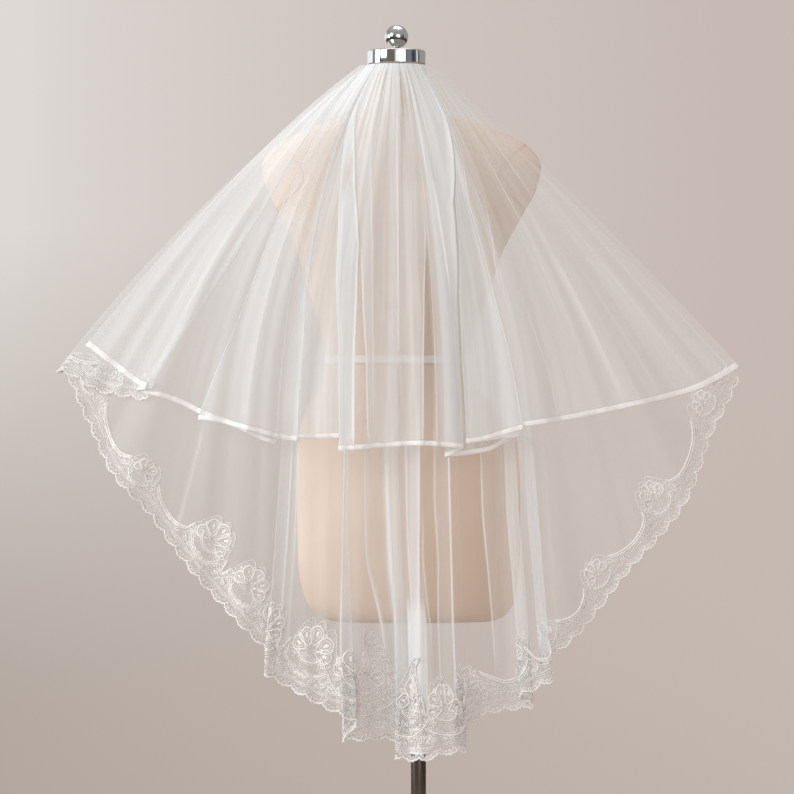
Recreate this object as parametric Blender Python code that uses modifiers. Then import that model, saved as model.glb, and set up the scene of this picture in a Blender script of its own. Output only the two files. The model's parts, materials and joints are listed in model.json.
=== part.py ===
"""Two-tier bridal veil gathered round the neck of a limbless dress form on a pole stand.

Metres, +Z up.  The origin is under the middle of the base, on the pole's axis.  The veil falls down
the back of the form, which faces -Y; +X is to the right of somebody who looks at the veil.

Every tier of the veil is one sheet.  Its table lists the stations of its hem from left to right, and
the layer that each stretch of the sheet lies in: where the layer changes, the sheet turns back.  The
drape function carries each column of the sheet from the gathers at the neck to its place on the hem.
"""

import math

import bmesh
import bpy
import numpy as np

COLLECTION = "bridal_veil_on_dress_form"
SEAM = 0.0003

# The dress form, from the top down: centre and half width across, depth to the back and to the front
FORM_COLUMNS = ("name", "height", "centre", "half_width", "back", "front")
FORM_SECTIONS = (
    ("neck_top", 1.5197, -0.033, 0.0410, 0.041, 0.041),
    ("neck_middle", 1.480, -0.033, 0.0415, 0.042, 0.043),
    ("neck_root", 1.455, -0.032, 0.0500, 0.050, 0.052),
    ("neck_slope", 1.444, -0.030, 0.0740, 0.058, 0.058),
    ("shoulder_slope", 1.430, -0.028, 0.1200, 0.068, 0.065),
    ("shoulder_top", 1.412, -0.026, 0.1650, 0.078, 0.074),
    ("shoulder_end", 1.394, -0.026, 0.1940, 0.086, 0.084),
    ("arm_end", 1.368, -0.026, 0.2090, 0.094, 0.096),
    ("arm_low", 1.335, -0.026, 0.2025, 0.102, 0.112),
    ("armpit", 1.295, -0.026, 0.1810, 0.108, 0.128),
    ("bust", 1.243, -0.028, 0.1550, 0.108, 0.142),
    ("ribs", 1.180, -0.030, 0.1350, 0.098, 0.122),
    ("high_waist", 1.115, -0.032, 0.1130, 0.084, 0.098),
    ("waist", 1.0775, -0.033, 0.1070, 0.080, 0.092),
    ("low_waist", 1.045, -0.032, 0.1120, 0.086, 0.096),
    ("high_hip", 1.005, -0.027, 0.1400, 0.102, 0.104),
    ("hip", 0.955, -0.017, 0.1640, 0.120, 0.108),
    ("seat", 0.870, -0.015, 0.1670, 0.128, 0.106),
    ("thigh", 0.780, -0.015, 0.1660, 0.120, 0.100),
    ("low_edge", 0.718, -0.013, 0.1560, 0.106, 0.092),
    ("under_edge", 0.695, -0.010, 0.1400, 0.094, 0.082),
    ("underside", 0.6875, -0.008, 0.1240, 0.082, 0.070),
)
FORM_AROUND = 32
FORM_ROUNDNESS = 2.25
WAIST_TAPE_HEIGHT = 1.0775
WAIST_TAPE_WIDTH = 0.013
WAIST_TAPE_THICK = 0.001

# The stand and the metal cap
NECK_X = -0.033
CAP_RADIUS = 0.0435
CAP_LOW = 1.520
CAP_HIGH = 1.5415
CAP_EDGE = 0.002
BALL_RADIUS = 0.0176
BALL_CENTRE = 1.5625
BALL_STEM_RADIUS = 0.007
BALL_STEPS = 10
POLE_RADIUS = 0.01125
BASE_RADIUS = 0.180
BASE_EDGE = 0.012
BASE_CROWN = 0.018
BASE_SLEEVE_RADIUS = 0.020
BASE_SLEEVE_HIGH = 0.060
ROUND_STEPS = 32

# The veil: how it leaves the neck and how it hangs
VEIL_TOP = 1.5170
WALL = 0.0010
NECK_ARC_RADIUS = 0.0465
NECK_ARC_SPREAD = math.radians(86.0)
VEIL_HALF_SPAN = 0.475
BAND_HEIGHT = 0.012
BAND_THICK = 0.0024
BAND_SPREAD = math.radians(91.0)
BAND_STEPS = 28
DRAPE_DEPTH_MIDDLE = 0.165
DRAPE_DEPTH_WING = 0.105
DEPTH_GROWTH = 0.110
LAYER_STEP_TOP = 0.0022
LAYER_STEP_HEM = 0.0100
LAYER_GROWTH = 0.25
TIER_GAP_TOP = 0.0020
TIER_GAP_HEM = 0.010
MIDDLE_REFERENCE_DROP = 0.570

# A side of the veil: where its columns stop falling straight and where they fan out, how far the
# outermost ones bow, and how much higher than in the middle they end
SIDE_COLUMNS = ("name", "straight_to", "fanned_from", "outer_bow", "rise", "rise_power")
LEFT_SIDE = dict(zip(SIDE_COLUMNS, ("left", 0.12, 0.50, 0.20, 0.154, 2.7)))
RIGHT_SIDE = dict(zip(SIDE_COLUMNS, ("right", 0.05, 0.45, 0.08, 0.122, 1.5)))

# Slow waves of the whole veil towards the viewer and back
WAVE_COLUMNS = ("length", "height", "start")
WAVES = ((0.138, 0.0080, 0.30), (0.079, 0.0030, 1.10))
WAVE_FULL_DROP = 0.90

# Hem stations of the tiers from left to right; the layer is that of the stretch ending there
STATION_COLUMNS = ("name", "across", "height", "layer")
UPPER_STATIONS = (
    ("left_tip", -0.486, 1.101, 2),
    ("left_wing", -0.451, 1.072, 2),
    ("left_tuck", -0.397, 1.038, 2),
    ("left_tuck_back", -0.411, 1.035, 1),
    ("left_back", -0.364, 1.021, 0),
    ("left_back_middle", -0.290, 0.989, 0),
    ("left_pleat_end", -0.209, 0.958, 0),
    ("left_pleat_fold", -0.318, 0.993, 1),
    ("left_panel", -0.251, 0.976, 2),
    ("small_tuck", -0.175, 0.962, 2),
    ("small_tuck_back", -0.186, 0.964, 1),
    ("inner_left", -0.144, 0.966, 0),
    ("inner_left_fold", -0.094, 0.967, 0),
    ("middle_fold", -0.110, 0.949, 1),
    ("middle_left", -0.052, 0.953, 2),
    ("middle", -0.005, 0.956, 2),
    ("middle_right_fold", 0.065, 0.951, 2),
    ("under_right", 0.039, 0.939, 1),
    ("under_right_middle", 0.094, 0.946, 0),
    ("under_right_end", 0.144, 0.968, 0),
    ("right_fold", 0.069, 0.959, 1),
    ("right_inner", 0.146, 0.979, 2),
    ("right_middle", 0.262, 1.002, 2),
    ("right_outer", 0.392, 1.032, 2),
    ("right_wing", 0.449, 1.059, 2),
    ("right_tip", 0.465, 1.070, 2),
)
LOWER_STATIONS = (
    ("return_edge", -0.404, 1.026, 1),
    ("return_middle", -0.467, 1.038, 1),
    ("left_tip", -0.527, 1.068, 1),
    ("left_high", -0.490, 1.003, 0),
    ("left_side", -0.448, 0.915, 0),
    ("left_bend", -0.389, 0.855, 0),
    ("left_low", -0.305, 0.748, 0),
    ("left_tuck", -0.201, 0.647, 0),
    ("left_tuck_back", -0.220, 0.631, 1),
    ("left_panel", -0.141, 0.585, 2),
    ("left_panel_end", -0.092, 0.559, 2),
    ("inner_left_fold", -0.112, 0.532, 1),
    ("inner_left", -0.064, 0.533, 0),
    ("inner_left_end", -0.016, 0.530, 0),
    ("middle_fold", -0.034, 0.506, 1),
    ("middle", 0.001, 0.504, 2),
    ("middle_right", 0.037, 0.514, 2),
    ("middle_right_fold", 0.065, 0.518, 2),
    ("inner_right_fold", 0.048, 0.535, 1),
    ("inner_right", 0.100, 0.570, 0),
    ("inner_right_end", 0.167, 0.581, 0),
    ("right_tuck", 0.147, 0.596, 1),
    ("right_panel", 0.193, 0.623, 2),
    ("right_tuck_back", 0.176, 0.639, 1),
    ("right_low", 0.227, 0.684, 0),
    ("right_bend", 0.302, 0.778, 0),
    ("right_side", 0.369, 0.855, 0),
    ("right_high", 0.421, 0.974, 0),
    ("right_tip", 0.464, 1.057, 0),
)
COLUMN_SPACING = 0.023
TURN_STEPS = 3
ROWS_BELOW_NECK = 4
NECK_DROPS = (0.0, 0.012, 0.032, 0.065, 0.115, 0.190)

# The satin ribbon on the upper hem and the lace on the lower one
RIBBON_WIDTH = 0.009
RIBBON_WALL = 0.0018
RIBBON_GAP = 0.0006
LACE_WALL = 0.0012
LACE_LIFT = 0.0006
LACE_ZONE = 0.165
LACE_STEPS_A_SCALLOP = 3
LACE_SCALLOP = 0.018
LACE_OVERHANG = 0.004
LACE_SCALLOP_DEPTH = 0.006
LACE_MOTIF_PITCH = 0.150
LACE_DEPTH_COLUMNS = ("name", "narrow", "deep")
LACE_SIDES = dict(zip(LACE_DEPTH_COLUMNS, ("sides", 0.026, 0.078)))
LACE_BOTTOM = dict(zip(LACE_DEPTH_COLUMNS, ("bottom", 0.085, 0.150)))
LACE_BOTTOM_HALF_SPAN = 0.21

FINISH_COLUMNS = ("colour", "roughness", "metallic")
FINISHES = {
    "form_cover": ((0.78, 0.68, 0.58), 0.85, 0.0),
    "waist_tape": ((0.90, 0.89, 0.86), 0.80, 0.0),
    "chrome": ((0.80, 0.80, 0.80), 0.12, 1.0),
    "dark_metal": ((0.045, 0.042, 0.040), 0.38, 1.0),
    "tulle": ((0.93, 0.91, 0.89), 0.90, 0.0),
    "satin": ((0.95, 0.94, 0.92), 0.32, 0.0),
    "lace": ((0.94, 0.92, 0.90), 0.75, 0.0),
}


def rows_of(columns, table):
    """The table's rows as dictionaries by column name."""
    return [dict(zip(columns, row)) for row in table]


def smooth_curve(knots, values, places):
    """Reads a curve through the knots that doesn't swing past its values (monotone cubic)."""
    knots, values, places = (np.asarray(a, dtype=float) for a in (knots, values, places))
    steps = np.diff(knots)
    slopes = np.diff(values) / steps
    tangents = np.zeros_like(values)
    tangents[0], tangents[-1] = slopes[0], slopes[-1]
    for i in range(1, len(values) - 1):
        if slopes[i - 1] * slopes[i] > 0.0:
            before, after = 2.0 * steps[i] + steps[i - 1], steps[i] + 2.0 * steps[i - 1]
            tangents[i] = (before + after) / (before / slopes[i - 1] + after / slopes[i])
    index = np.clip(np.searchsorted(knots, places, side="right") - 1, 0, len(steps) - 1)
    t = (places - knots[index]) / steps[index]
    start, end = values[index], values[index + 1]
    lead, trail = tangents[index] * steps[index], tangents[index + 1] * steps[index]
    return (start * (2 * t**3 - 3 * t**2 + 1) + lead * (t**3 - 2 * t**2 + t)
            + end * (3 * t**2 - 2 * t**3) + trail * (t**3 - t**2))


def ease(value, low, high):
    """0 below low, 1 above high, and a smooth rise between them."""
    t = min(max((value - low) / (high - low), 0.0), 1.0)
    return t * t * (3.0 - 2.0 * t)


def drape_point(column, height, out):
    """A point of the veil: column is where it ends across, and out is how far it lies outside."""
    drop = VEIL_TOP - height
    side = column - NECK_X
    fan = LEFT_SIDE if side < 0.0 else RIGHT_SIDE
    share = min(abs(side) / VEIL_HALF_SPAN, 1.15)
    full_drop = MIDDLE_REFERENCE_DROP - fan["rise"] * share ** fan["rise_power"]
    bow = 1.0 + (fan["outer_bow"] - 1.0) * ease(abs(side), fan["straight_to"], fan["fanned_from"])
    fall = drop / full_drop
    reach = fall + bow * fall * (1.0 - fall) if fall < 1.0 else 1.0 + (1.0 - bow) * (fall - 1.0)
    angle = NECK_ARC_SPREAD * side / VEIL_HALF_SPAN
    across_top = NECK_X + NECK_ARC_RADIUS * math.sin(angle)
    hang = 1.0 - math.exp(-drop / DEPTH_GROWTH)
    depth = DRAPE_DEPTH_MIDDLE + (DRAPE_DEPTH_WING - DRAPE_DEPTH_MIDDLE) * share**2
    for wave in rows_of(WAVE_COLUMNS, WAVES):
        swing = math.sin(2.0 * math.pi * column / wave["length"] + wave["start"])
        depth += wave["height"] * swing * drop / WAVE_FULL_DROP
    x = across_top + (column - across_top) * reach + out * (1.0 - hang) * math.sin(angle)
    y = -(1.0 - hang) * (NECK_ARC_RADIUS + out) * math.cos(angle) - hang * (depth + out)
    return np.array((x, y, height))


def layer_offset(layer, height, is_upper):
    """How far outside the deepest layer this one lies, at a height."""
    spread = 1.0 - math.exp(-(VEIL_TOP - height) / LAYER_GROWTH)
    step = LAYER_STEP_TOP + (LAYER_STEP_HEM - LAYER_STEP_TOP) * spread
    gap = TIER_GAP_TOP + (TIER_GAP_HEM - TIER_GAP_TOP) * spread
    return layer * step + (2.0 * step + gap if is_upper else 0.0)


def column_ending_at(across, height):
    """The column whose line is at this place across, at this height."""
    low, high = NECK_X - 1.3 * VEIL_HALF_SPAN, NECK_X + 1.3 * VEIL_HALF_SPAN
    for _ in range(40):
        middle = (low + high) / 2.0
        if drape_point(middle, height, 0.0)[0] < across:
            low = middle
        else:
            high = middle
    return (low + high) / 2.0


def hem_path(stations, spacing):
    """The sheet's columns from left to right: each column's own line, hem height and layer."""
    stations = rows_of(STATION_COLUMNS, stations)
    lines = [column_ending_at(s["across"], s["height"]) for s in stations]
    layers = [s["layer"] for s in stations]
    last = len(stations) - 1
    turns = [0 < i < last and layers[i + 1] != layers[i] for i in range(last + 1)]
    radius = LAYER_STEP_HEM / 2.0
    path, knots, travelled = [], [0.0], 0.0
    for i in range(1, last + 1):
        direction = math.copysign(1.0, lines[i] - lines[i - 1])
        start = lines[i - 1] + direction * radius * turns[i - 1]
        end = lines[i] - direction * radius * turns[i]
        steps = max(1, math.ceil(abs(end - start) / spacing))
        for k in range(steps + (turns[i] or i == last)):
            t = k / steps
            path.append((start + (end - start) * t, travelled + abs(end - start) * t, layers[i]))
        travelled += abs(end - start)
        knots.append(travelled)
        if turns[i]:
            for k in range(1, TURN_STEPS):
                lean = math.pi * k / TURN_STEPS
                path.append((end + direction * radius * math.sin(lean), travelled + radius * lean,
                             layers[i] + (layers[i + 1] - layers[i]) * (1.0 - math.cos(lean)) / 2.0))
            travelled += math.pi * radius
            knots[-1] += math.pi * radius / 2.0
    columns, along, layer = (np.array(values) for values in zip(*path))
    return columns, smooth_curve(knots, [s["height"] for s in stations], along), layer


def column_heights(hem):
    """Heights of a column's points: close together at the neck, then even down to the hem."""
    near = [VEIL_TOP - drop for drop in NECK_DROPS]
    return near + [near[-1] + (hem - near[-1]) * k / ROWS_BELOW_NECK for k in range(1, ROWS_BELOW_NECK + 1)]


def sheet_grid(path, heights_for, is_upper):
    """Points of a sheet: one list for each column, at the heights that its hem height gives."""
    return np.array([
        [drape_point(column, height, layer_offset(layer, height, is_upper)) for height in heights_for(hem)]
        for column, hem, layer in zip(*path)
    ])


def outward_normals(grid):
    """Unit normals at the points of a grid, outwards: the mean of the facets that meet there."""
    across = grid[1:] - grid[:-1]
    down = grid[:, 1:] - grid[:, :-1]
    facets = np.cross(down[:-1] + down[1:], across[:, :-1] + across[:, 1:])
    facets /= np.linalg.norm(facets, axis=2, keepdims=True)
    around = np.pad(facets, ((1, 1), (1, 1), (0, 0)), mode="edge")
    normals = around[:-1, :-1] + around[1:, :-1] + around[:-1, 1:] + around[1:, 1:]
    return normals / np.linalg.norm(normals, axis=2, keepdims=True)


def finish_object(name, mesh, finish):
    """Puts a smooth mesh in the part's collection with its own material."""
    look = dict(zip(FINISH_COLUMNS, FINISHES[finish]))
    material = bpy.data.materials.new(name)
    material.use_nodes = True
    shader = material.node_tree.nodes["Principled BSDF"]
    shader.inputs["Base Color"].default_value = (*look["colour"], 1.0)
    shader.inputs["Roughness"].default_value = look["roughness"]
    shader.inputs["Metallic"].default_value = look["metallic"]
    mesh.materials.append(material)
    mesh.shade_smooth()
    thing = bpy.data.objects.new(name, mesh)
    bpy.data.collections[COLLECTION].objects.link(thing)
    return thing


def grid_mesh(name, grid, closed=False):
    """An open sheet of quads through a grid of points, one list of points for each column."""
    columns, rows = grid.shape[:2]
    points = [tuple(p) for line in grid for p in line]
    last = columns if closed else columns - 1
    faces = []
    for i in range(last):
        here, there = i * rows, (i + 1) % columns * rows
        for j in range(rows - 1):
            faces.append((here + j, here + j + 1, there + j + 1, there + j))
    mesh = bpy.data.meshes.new(name)
    mesh.from_pydata(points, [], faces)
    mesh.update()
    return mesh


def cloth_wall(name, grid, thick, finish, closed=False):
    """A sheet of points with a wall that grows evenly to both of its sides."""
    wall = finish_object(name, grid_mesh(name, grid, closed), finish)
    solid = wall.modifiers.new("wall", "SOLIDIFY")
    solid.thickness = thick
    solid.offset = 0.0
    solid.use_even_offset = False
    return wall


def form_section(section, around, grow=0.0):
    """The outline of the form at one section, as a rounded oval that can be grown outward."""
    angle = 2.0 * math.pi * around / FORM_AROUND
    power = 2.0 / FORM_ROUNDNESS
    across = math.copysign(abs(math.cos(angle)) ** power, math.cos(angle))
    deep = math.copysign(abs(math.sin(angle)) ** power, math.sin(angle))
    depth = section["front"] if deep > 0.0 else section["back"]
    return (section["centre"] + (section["half_width"] + grow) * across,
            (depth + grow) * deep, section["height"])


def section_at(height):
    """The form's section at any height, read smoothly between those of the table."""
    table = rows_of(FORM_COLUMNS, FORM_SECTIONS)[::-1]
    knots = [row["height"] for row in table]
    names = ("centre", "half_width", "back", "front")
    read = {name: float(smooth_curve(knots, [row[name] for row in table], [height])[0]) for name in names}
    return {"height": height, **read}


def tape_heights():
    """The top edge, middle and bottom edge of the waist tape; the form has a ring at each of them."""
    return [WAIST_TAPE_HEIGHT + WAIST_TAPE_WIDTH * share for share in (0.5, 0.0, -0.5)]


def build_form():
    """The limbless torso, one smooth closed body from the neck to its flat underside."""
    heights = {row["height"] for row in rows_of(FORM_COLUMNS, FORM_SECTIONS)} | set(tape_heights())
    rings = bmesh.new()
    loops = []
    for height in sorted(heights, reverse=True):
        section = section_at(height)
        loops.append([rings.verts.new(form_section(section, k)) for k in range(FORM_AROUND)])
    for upper, lower in zip(loops, loops[1:]):
        for k in range(FORM_AROUND):
            after = (k + 1) % FORM_AROUND
            rings.faces.new((upper[k], lower[k], lower[after], upper[after]))
    rings.faces.new(loops[0])
    rings.faces.new(loops[-1][::-1])
    bmesh.ops.recalc_face_normals(rings, faces=rings.faces)
    mesh = bpy.data.meshes.new("form_torso")
    rings.to_mesh(mesh)
    rings.free()
    finish_object("form_torso", mesh, "form_cover")


def build_waist_tape():
    """The tape round the waist of the form, lying on its cover."""
    clear = SEAM + WAIST_TAPE_THICK / 2.0
    grid = [[form_section(section_at(height), k, clear) for height in tape_heights()]
            for k in range(FORM_AROUND)]
    cloth_wall("waist_tape", np.array(grid), WAIST_TAPE_THICK, "waist_tape", closed=True)


def turned(name, profile, finish, centre_x, steps=ROUND_STEPS):
    """A turned piece: its outer side from top to bottom as (radius, height), closed at the axis."""
    mesh = bpy.data.meshes.new(name)
    points = [(radius, 0.0, height) for radius, height in profile]
    mesh.from_pydata(points, [(i, i + 1) for i in range(len(points) - 1)], [])
    piece = finish_object(name, mesh, finish)
    screw = piece.modifiers.new("turn", "SCREW")
    screw.steps = steps
    screw.render_steps = steps
    screw.use_merge_vertices = True
    screw.merge_threshold = 0.00001
    piece.location.x = centre_x
    return piece


def arc(centre_radius, centre_height, radius, start, end, steps):
    """Points of a profile along an arc, in degrees from straight up towards the outside."""
    points = []
    for k in range(steps + 1):
        angle = math.radians(start + (end - start) * k / steps)
        points.append((centre_radius + radius * math.sin(angle), centre_height + radius * math.cos(angle)))
    return points


def build_cap():
    """The metal cap that closes the neck, with the stem that carries the ball."""
    edge = CAP_RADIUS - CAP_EDGE
    stem_top = BALL_CENTRE - BALL_RADIUS - SEAM
    profile = [(0.0, stem_top), (BALL_STEM_RADIUS, stem_top), (BALL_STEM_RADIUS, CAP_HIGH)]
    profile += arc(edge, CAP_HIGH - CAP_EDGE, CAP_EDGE, 0.0, 90.0, 3)
    profile += arc(edge, CAP_LOW + CAP_EDGE, CAP_EDGE, 90.0, 180.0, 3)
    profile += [(0.0, CAP_LOW)]
    turned("neck_cap", profile, "chrome", NECK_X)


def build_ball():
    """The ball finial."""
    profile = arc(0.0, BALL_CENTRE, BALL_RADIUS, 0.0, 180.0, BALL_STEPS)
    profile[0] = (0.0, BALL_CENTRE + BALL_RADIUS)
    profile[-1] = (0.0, BALL_CENTRE - BALL_RADIUS)
    turned("finial_ball", profile, "chrome", NECK_X, 2 * BALL_STEPS)


def build_stand():
    """The pole, and the round base with the sleeve that it stands in."""
    top = FORM_SECTIONS[-1][FORM_COLUMNS.index("height")] - SEAM
    floor_of_sleeve = BASE_CROWN
    pole = [(0.0, top), (POLE_RADIUS, top), (POLE_RADIUS, floor_of_sleeve + SEAM), (0.0, floor_of_sleeve + SEAM)]
    turned("pole", pole, "dark_metal", 0.0)
    bore = POLE_RADIUS + SEAM
    base = [(0.0, floor_of_sleeve), (bore, floor_of_sleeve), (bore, BASE_SLEEVE_HIGH)]
    base += [(BASE_SLEEVE_RADIUS - CAP_EDGE, BASE_SLEEVE_HIGH), (BASE_SLEEVE_RADIUS, BASE_SLEEVE_HIGH - CAP_EDGE)]
    base += [(BASE_SLEEVE_RADIUS, BASE_CROWN + 0.006), (BASE_SLEEVE_RADIUS + 0.006, BASE_CROWN)]
    base += [(BASE_RADIUS - BASE_EDGE / 2.0, BASE_EDGE)]
    base += arc(BASE_RADIUS - BASE_EDGE / 2.0, BASE_EDGE / 2.0, BASE_EDGE / 2.0, 0.0, 180.0, 6)[1:]
    base += [(0.0, 0.0)]
    turned("stand_base", base, "dark_metal", 0.0)


def build_gather_band():
    """The narrow band round the back of the neck that the gathers of both tiers are sewn to."""
    inner = NECK_ARC_RADIUS - WALL / 2.0 - SEAM - BAND_THICK
    middle = inner + BAND_THICK / 2.0
    grid = []
    for k in range(BAND_STEPS + 1):
        angle = BAND_SPREAD * (2.0 * k / BAND_STEPS - 1.0)
        x, y = NECK_X + middle * math.sin(angle), -middle * math.cos(angle)
        grid.append([(x, y, VEIL_TOP), (x, y, VEIL_TOP - BAND_HEIGHT)])
    cloth_wall("gather_band", np.array(grid), BAND_THICK, "satin")


def build_upper_tier():
    """The short top tier and the satin ribbon that binds its hem."""
    path = hem_path(UPPER_STATIONS, COLUMN_SPACING)
    half = RIBBON_WIDTH / 2.0
    tulle = sheet_grid(path, lambda hem: column_heights(hem + half), True)
    cloth_wall("upper_tier", tulle, WALL, "tulle")
    ribbon = sheet_grid(path, lambda hem: [hem + half - RIBBON_GAP, hem - half], True)
    cloth_wall("ribbon_binding", ribbon, RIBBON_WALL, "satin")


def hem_lengths(grid):
    """The distance along the hem from its left end to each column."""
    steps = np.linalg.norm(np.diff(grid[:, -1], axis=0), axis=1)
    return np.concatenate(([0.0], np.cumsum(steps)))


def lace_depth(place, middle, across):
    """How far the lace reaches up the tier here: motifs in a row, larger in the middle of the hem."""
    bottom = 1.0 - ease(abs(across - NECK_X), 0.4 * LACE_BOTTOM_HALF_SPAN, 1.3 * LACE_BOTTOM_HALF_SPAN)
    narrow = LACE_SIDES["narrow"] + (LACE_BOTTOM["narrow"] - LACE_SIDES["narrow"]) * bottom
    deep = LACE_SIDES["deep"] + (LACE_BOTTOM["deep"] - LACE_SIDES["deep"]) * bottom
    swell = 0.5 + 0.5 * math.cos(2.0 * math.pi * (place - middle) / LACE_MOTIF_PITCH)
    return narrow + (deep - narrow) * ease(swell, 0.15, 0.75)


def build_lower_tier():
    """The long under tier and the scalloped lace that lies along its hem."""
    path = hem_path(LOWER_STATIONS, COLUMN_SPACING)
    grid = sheet_grid(path, lambda hem: column_heights(hem + LACE_ZONE) + [hem], False)
    cloth_wall("lower_tier", grid, WALL, "tulle")

    edge = grid[:, -2:]
    out = (WALL + LACE_WALL) / 2.0 + LACE_LIFT
    edge = edge + outward_normals(grid)[:, -2:] * out
    lengths = hem_lengths(grid)
    step = LACE_SCALLOP / LACE_STEPS_A_SCALLOP
    lace = []
    for i in range(len(lengths) - 1):
        parts = max(1, round((lengths[i + 1] - lengths[i]) / step))
        for k in range(parts + (i + 2 == len(lengths))):
            t = k / parts
            place = lengths[i] + (lengths[i + 1] - lengths[i]) * t
            high, low = edge[i] + (edge[i + 1] - edge[i]) * t
            zone = np.linalg.norm(high - low)
            reach = min(lace_depth(place, lengths[-1] / 2.0, low[0]), 0.97 * zone)
            over = LACE_OVERHANG + LACE_SCALLOP_DEPTH * abs(math.sin(math.pi * place / LACE_SCALLOP))
            lace.append([low + (high - low) * reach / zone, low - (high - low) * over / zone])
    cloth_wall("lace_edging", np.array(lace), LACE_WALL, "lace")


def main():
    """Clears the scene and builds every piece."""
    for thing in list(bpy.data.objects):
        bpy.data.objects.remove(thing, do_unlink=True)
    bpy.context.scene.collection.children.link(bpy.data.collections.new(COLLECTION))
    build_form()
    build_waist_tape()
    build_cap()
    build_ball()
    build_stand()
    build_gather_band()
    build_upper_tier()
    build_lower_tier()


main()
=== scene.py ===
"""Looks of the two-tier bridal veil on its dress form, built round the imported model.

Metres, +Z up.  The veil falls down the back of the form, which faces -Y, and +X is to the right of
somebody who looks at it.  The tiers follow the same drape as the part's solids, with many more
points: each tier is one sheet that turns back where its layer changes.
"""

import json
import logging
import math
from dataclasses import dataclass, field
from enum import Enum
from typing import Any, Sequence

import bpy
import numpy as np
from mathutils import Matrix, Vector

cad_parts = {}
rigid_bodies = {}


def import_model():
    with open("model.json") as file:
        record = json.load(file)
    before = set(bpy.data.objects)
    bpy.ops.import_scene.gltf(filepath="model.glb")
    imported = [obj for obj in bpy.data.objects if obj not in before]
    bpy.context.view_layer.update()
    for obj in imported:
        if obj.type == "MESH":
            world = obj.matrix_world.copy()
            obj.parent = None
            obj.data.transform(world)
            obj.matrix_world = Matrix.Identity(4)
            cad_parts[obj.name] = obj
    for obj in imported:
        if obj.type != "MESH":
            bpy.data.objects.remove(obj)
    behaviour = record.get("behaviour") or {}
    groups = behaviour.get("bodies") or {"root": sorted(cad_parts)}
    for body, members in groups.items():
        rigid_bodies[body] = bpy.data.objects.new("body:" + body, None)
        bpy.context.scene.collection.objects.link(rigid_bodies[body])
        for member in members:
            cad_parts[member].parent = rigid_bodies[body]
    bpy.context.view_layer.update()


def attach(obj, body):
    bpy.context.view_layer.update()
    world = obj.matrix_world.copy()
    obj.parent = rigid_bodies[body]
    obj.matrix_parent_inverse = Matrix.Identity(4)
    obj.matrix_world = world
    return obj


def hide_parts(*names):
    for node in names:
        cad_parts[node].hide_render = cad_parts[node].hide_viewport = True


Array = np.ndarray
Colour = tuple[float, float, float, float]
Material = bpy.types.Material
Thing = bpy.types.Object
Triple = tuple[float, float, float]

LOG = logging.getLogger("bridal_veil")
SEED = 7


class Slot(Enum):
    """The record's material slots, which the pieces are passed but which set nothing."""

    FORM_COVER = "form_cover"
    WAIST_TAPE = "waist_tape"
    POLISHED_METAL = "polished_metal"
    STAND_METAL = "stand_metal"
    TULLE = "tulle"
    SATIN = "satin"
    LACE = "lace"


class Tier(Enum):
    """The two tiers of the veil."""

    UPPER = "upper"
    LOWER = "lower"


def linear(red: float, green: float, blue: float) -> Colour:
    """Turns a colour of 0 to 255 on a screen into the linear one that shaders read.

    Args:
        red: The red part.
        green: The green part.
        blue: The blue part.

    Returns:
        The linear colour.
    """
    def one(value: float) -> float:
        """Turns one part of the colour."""
        share = value / 255.0
        return share / 12.92 if share <= 0.04045 else ((share + 0.055) / 1.055) ** 2.4

    return (one(red), one(green), one(blue), 1.0)


def ease(value: Any, low: float, high: float) -> Any:
    """Rises smoothly from 0 at low to 1 at high."""
    share = np.clip((value - low) / (high - low), 0.0, 1.0)
    return share * share * (3.0 - 2.0 * share)


def smooth_curve(knots: Sequence[float], values: Sequence[float], places: Any) -> Array:
    """Reads a curve through the knots that doesn't swing past its values.

    Args:
        knots: Rising places of the values.
        values: The known values.
        places: Where it is read.

    Returns:
        The curve's value at each place.
    """
    knots, values, places = (np.asarray(a, dtype=float) for a in (knots, values, places))
    steps = np.diff(knots)
    slopes = np.diff(values) / steps
    tangents = np.zeros_like(values)
    tangents[0], tangents[-1] = slopes[0], slopes[-1]
    for i in range(1, len(values) - 1):
        if slopes[i - 1] * slopes[i] > 0.0:
            before, after = 2.0 * steps[i] + steps[i - 1], steps[i] + 2.0 * steps[i - 1]
            tangents[i] = (before + after) / (before / slopes[i - 1] + after / slopes[i])
    index = np.clip(np.searchsorted(knots, places, side="right") - 1, 0, len(steps) - 1)
    t = (places - knots[index]) / steps[index]
    start, end = values[index], values[index + 1]
    lead, trail = tangents[index] * steps[index], tangents[index + 1] * steps[index]
    return (start * (2 * t**3 - 3 * t**2 + 1) + lead * (t**3 - 2 * t**2 + t)
            + end * (3 * t**2 - 2 * t**3) + trail * (t**3 - t**2))


# Meshes


def mesh_object(name: str, points: Array, faces: Sequence[Sequence[int]],
                edges: Sequence[Sequence[int]] = ()) -> Thing:
    """Makes a smooth mesh object at the origin.

    Args:
        name: Its name.
        points: Its points.
        faces: The points of each face.
        edges: Loose edges.

    Returns:
        The object.
    """
    mesh = bpy.data.meshes.new(name)
    mesh.from_pydata(np.asarray(points).tolist(), [list(e) for e in edges], [list(f) for f in faces])
    mesh.update()
    if len(faces):
        mesh.shade_smooth()
    thing = bpy.data.objects.new(name, mesh)
    bpy.context.scene.collection.objects.link(thing)
    return thing


def grid_faces(columns: int, rows: int, closed: bool = False) -> Array:
    """Quads over a grid of points listed column by column, from the top row down.

    Args:
        columns: How many columns.
        rows: How many rows.
        closed: True where the ends join.

    Returns:
        The four points of each quad.
    """
    i, j = np.meshgrid(np.arange(columns if closed else columns - 1), np.arange(rows - 1), indexing="ij")
    here, there = i * rows + j, (i + 1) % columns * rows + j
    return np.stack([here, here + 1, there + 1, there], axis=-1).reshape(-1, 4)


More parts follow.
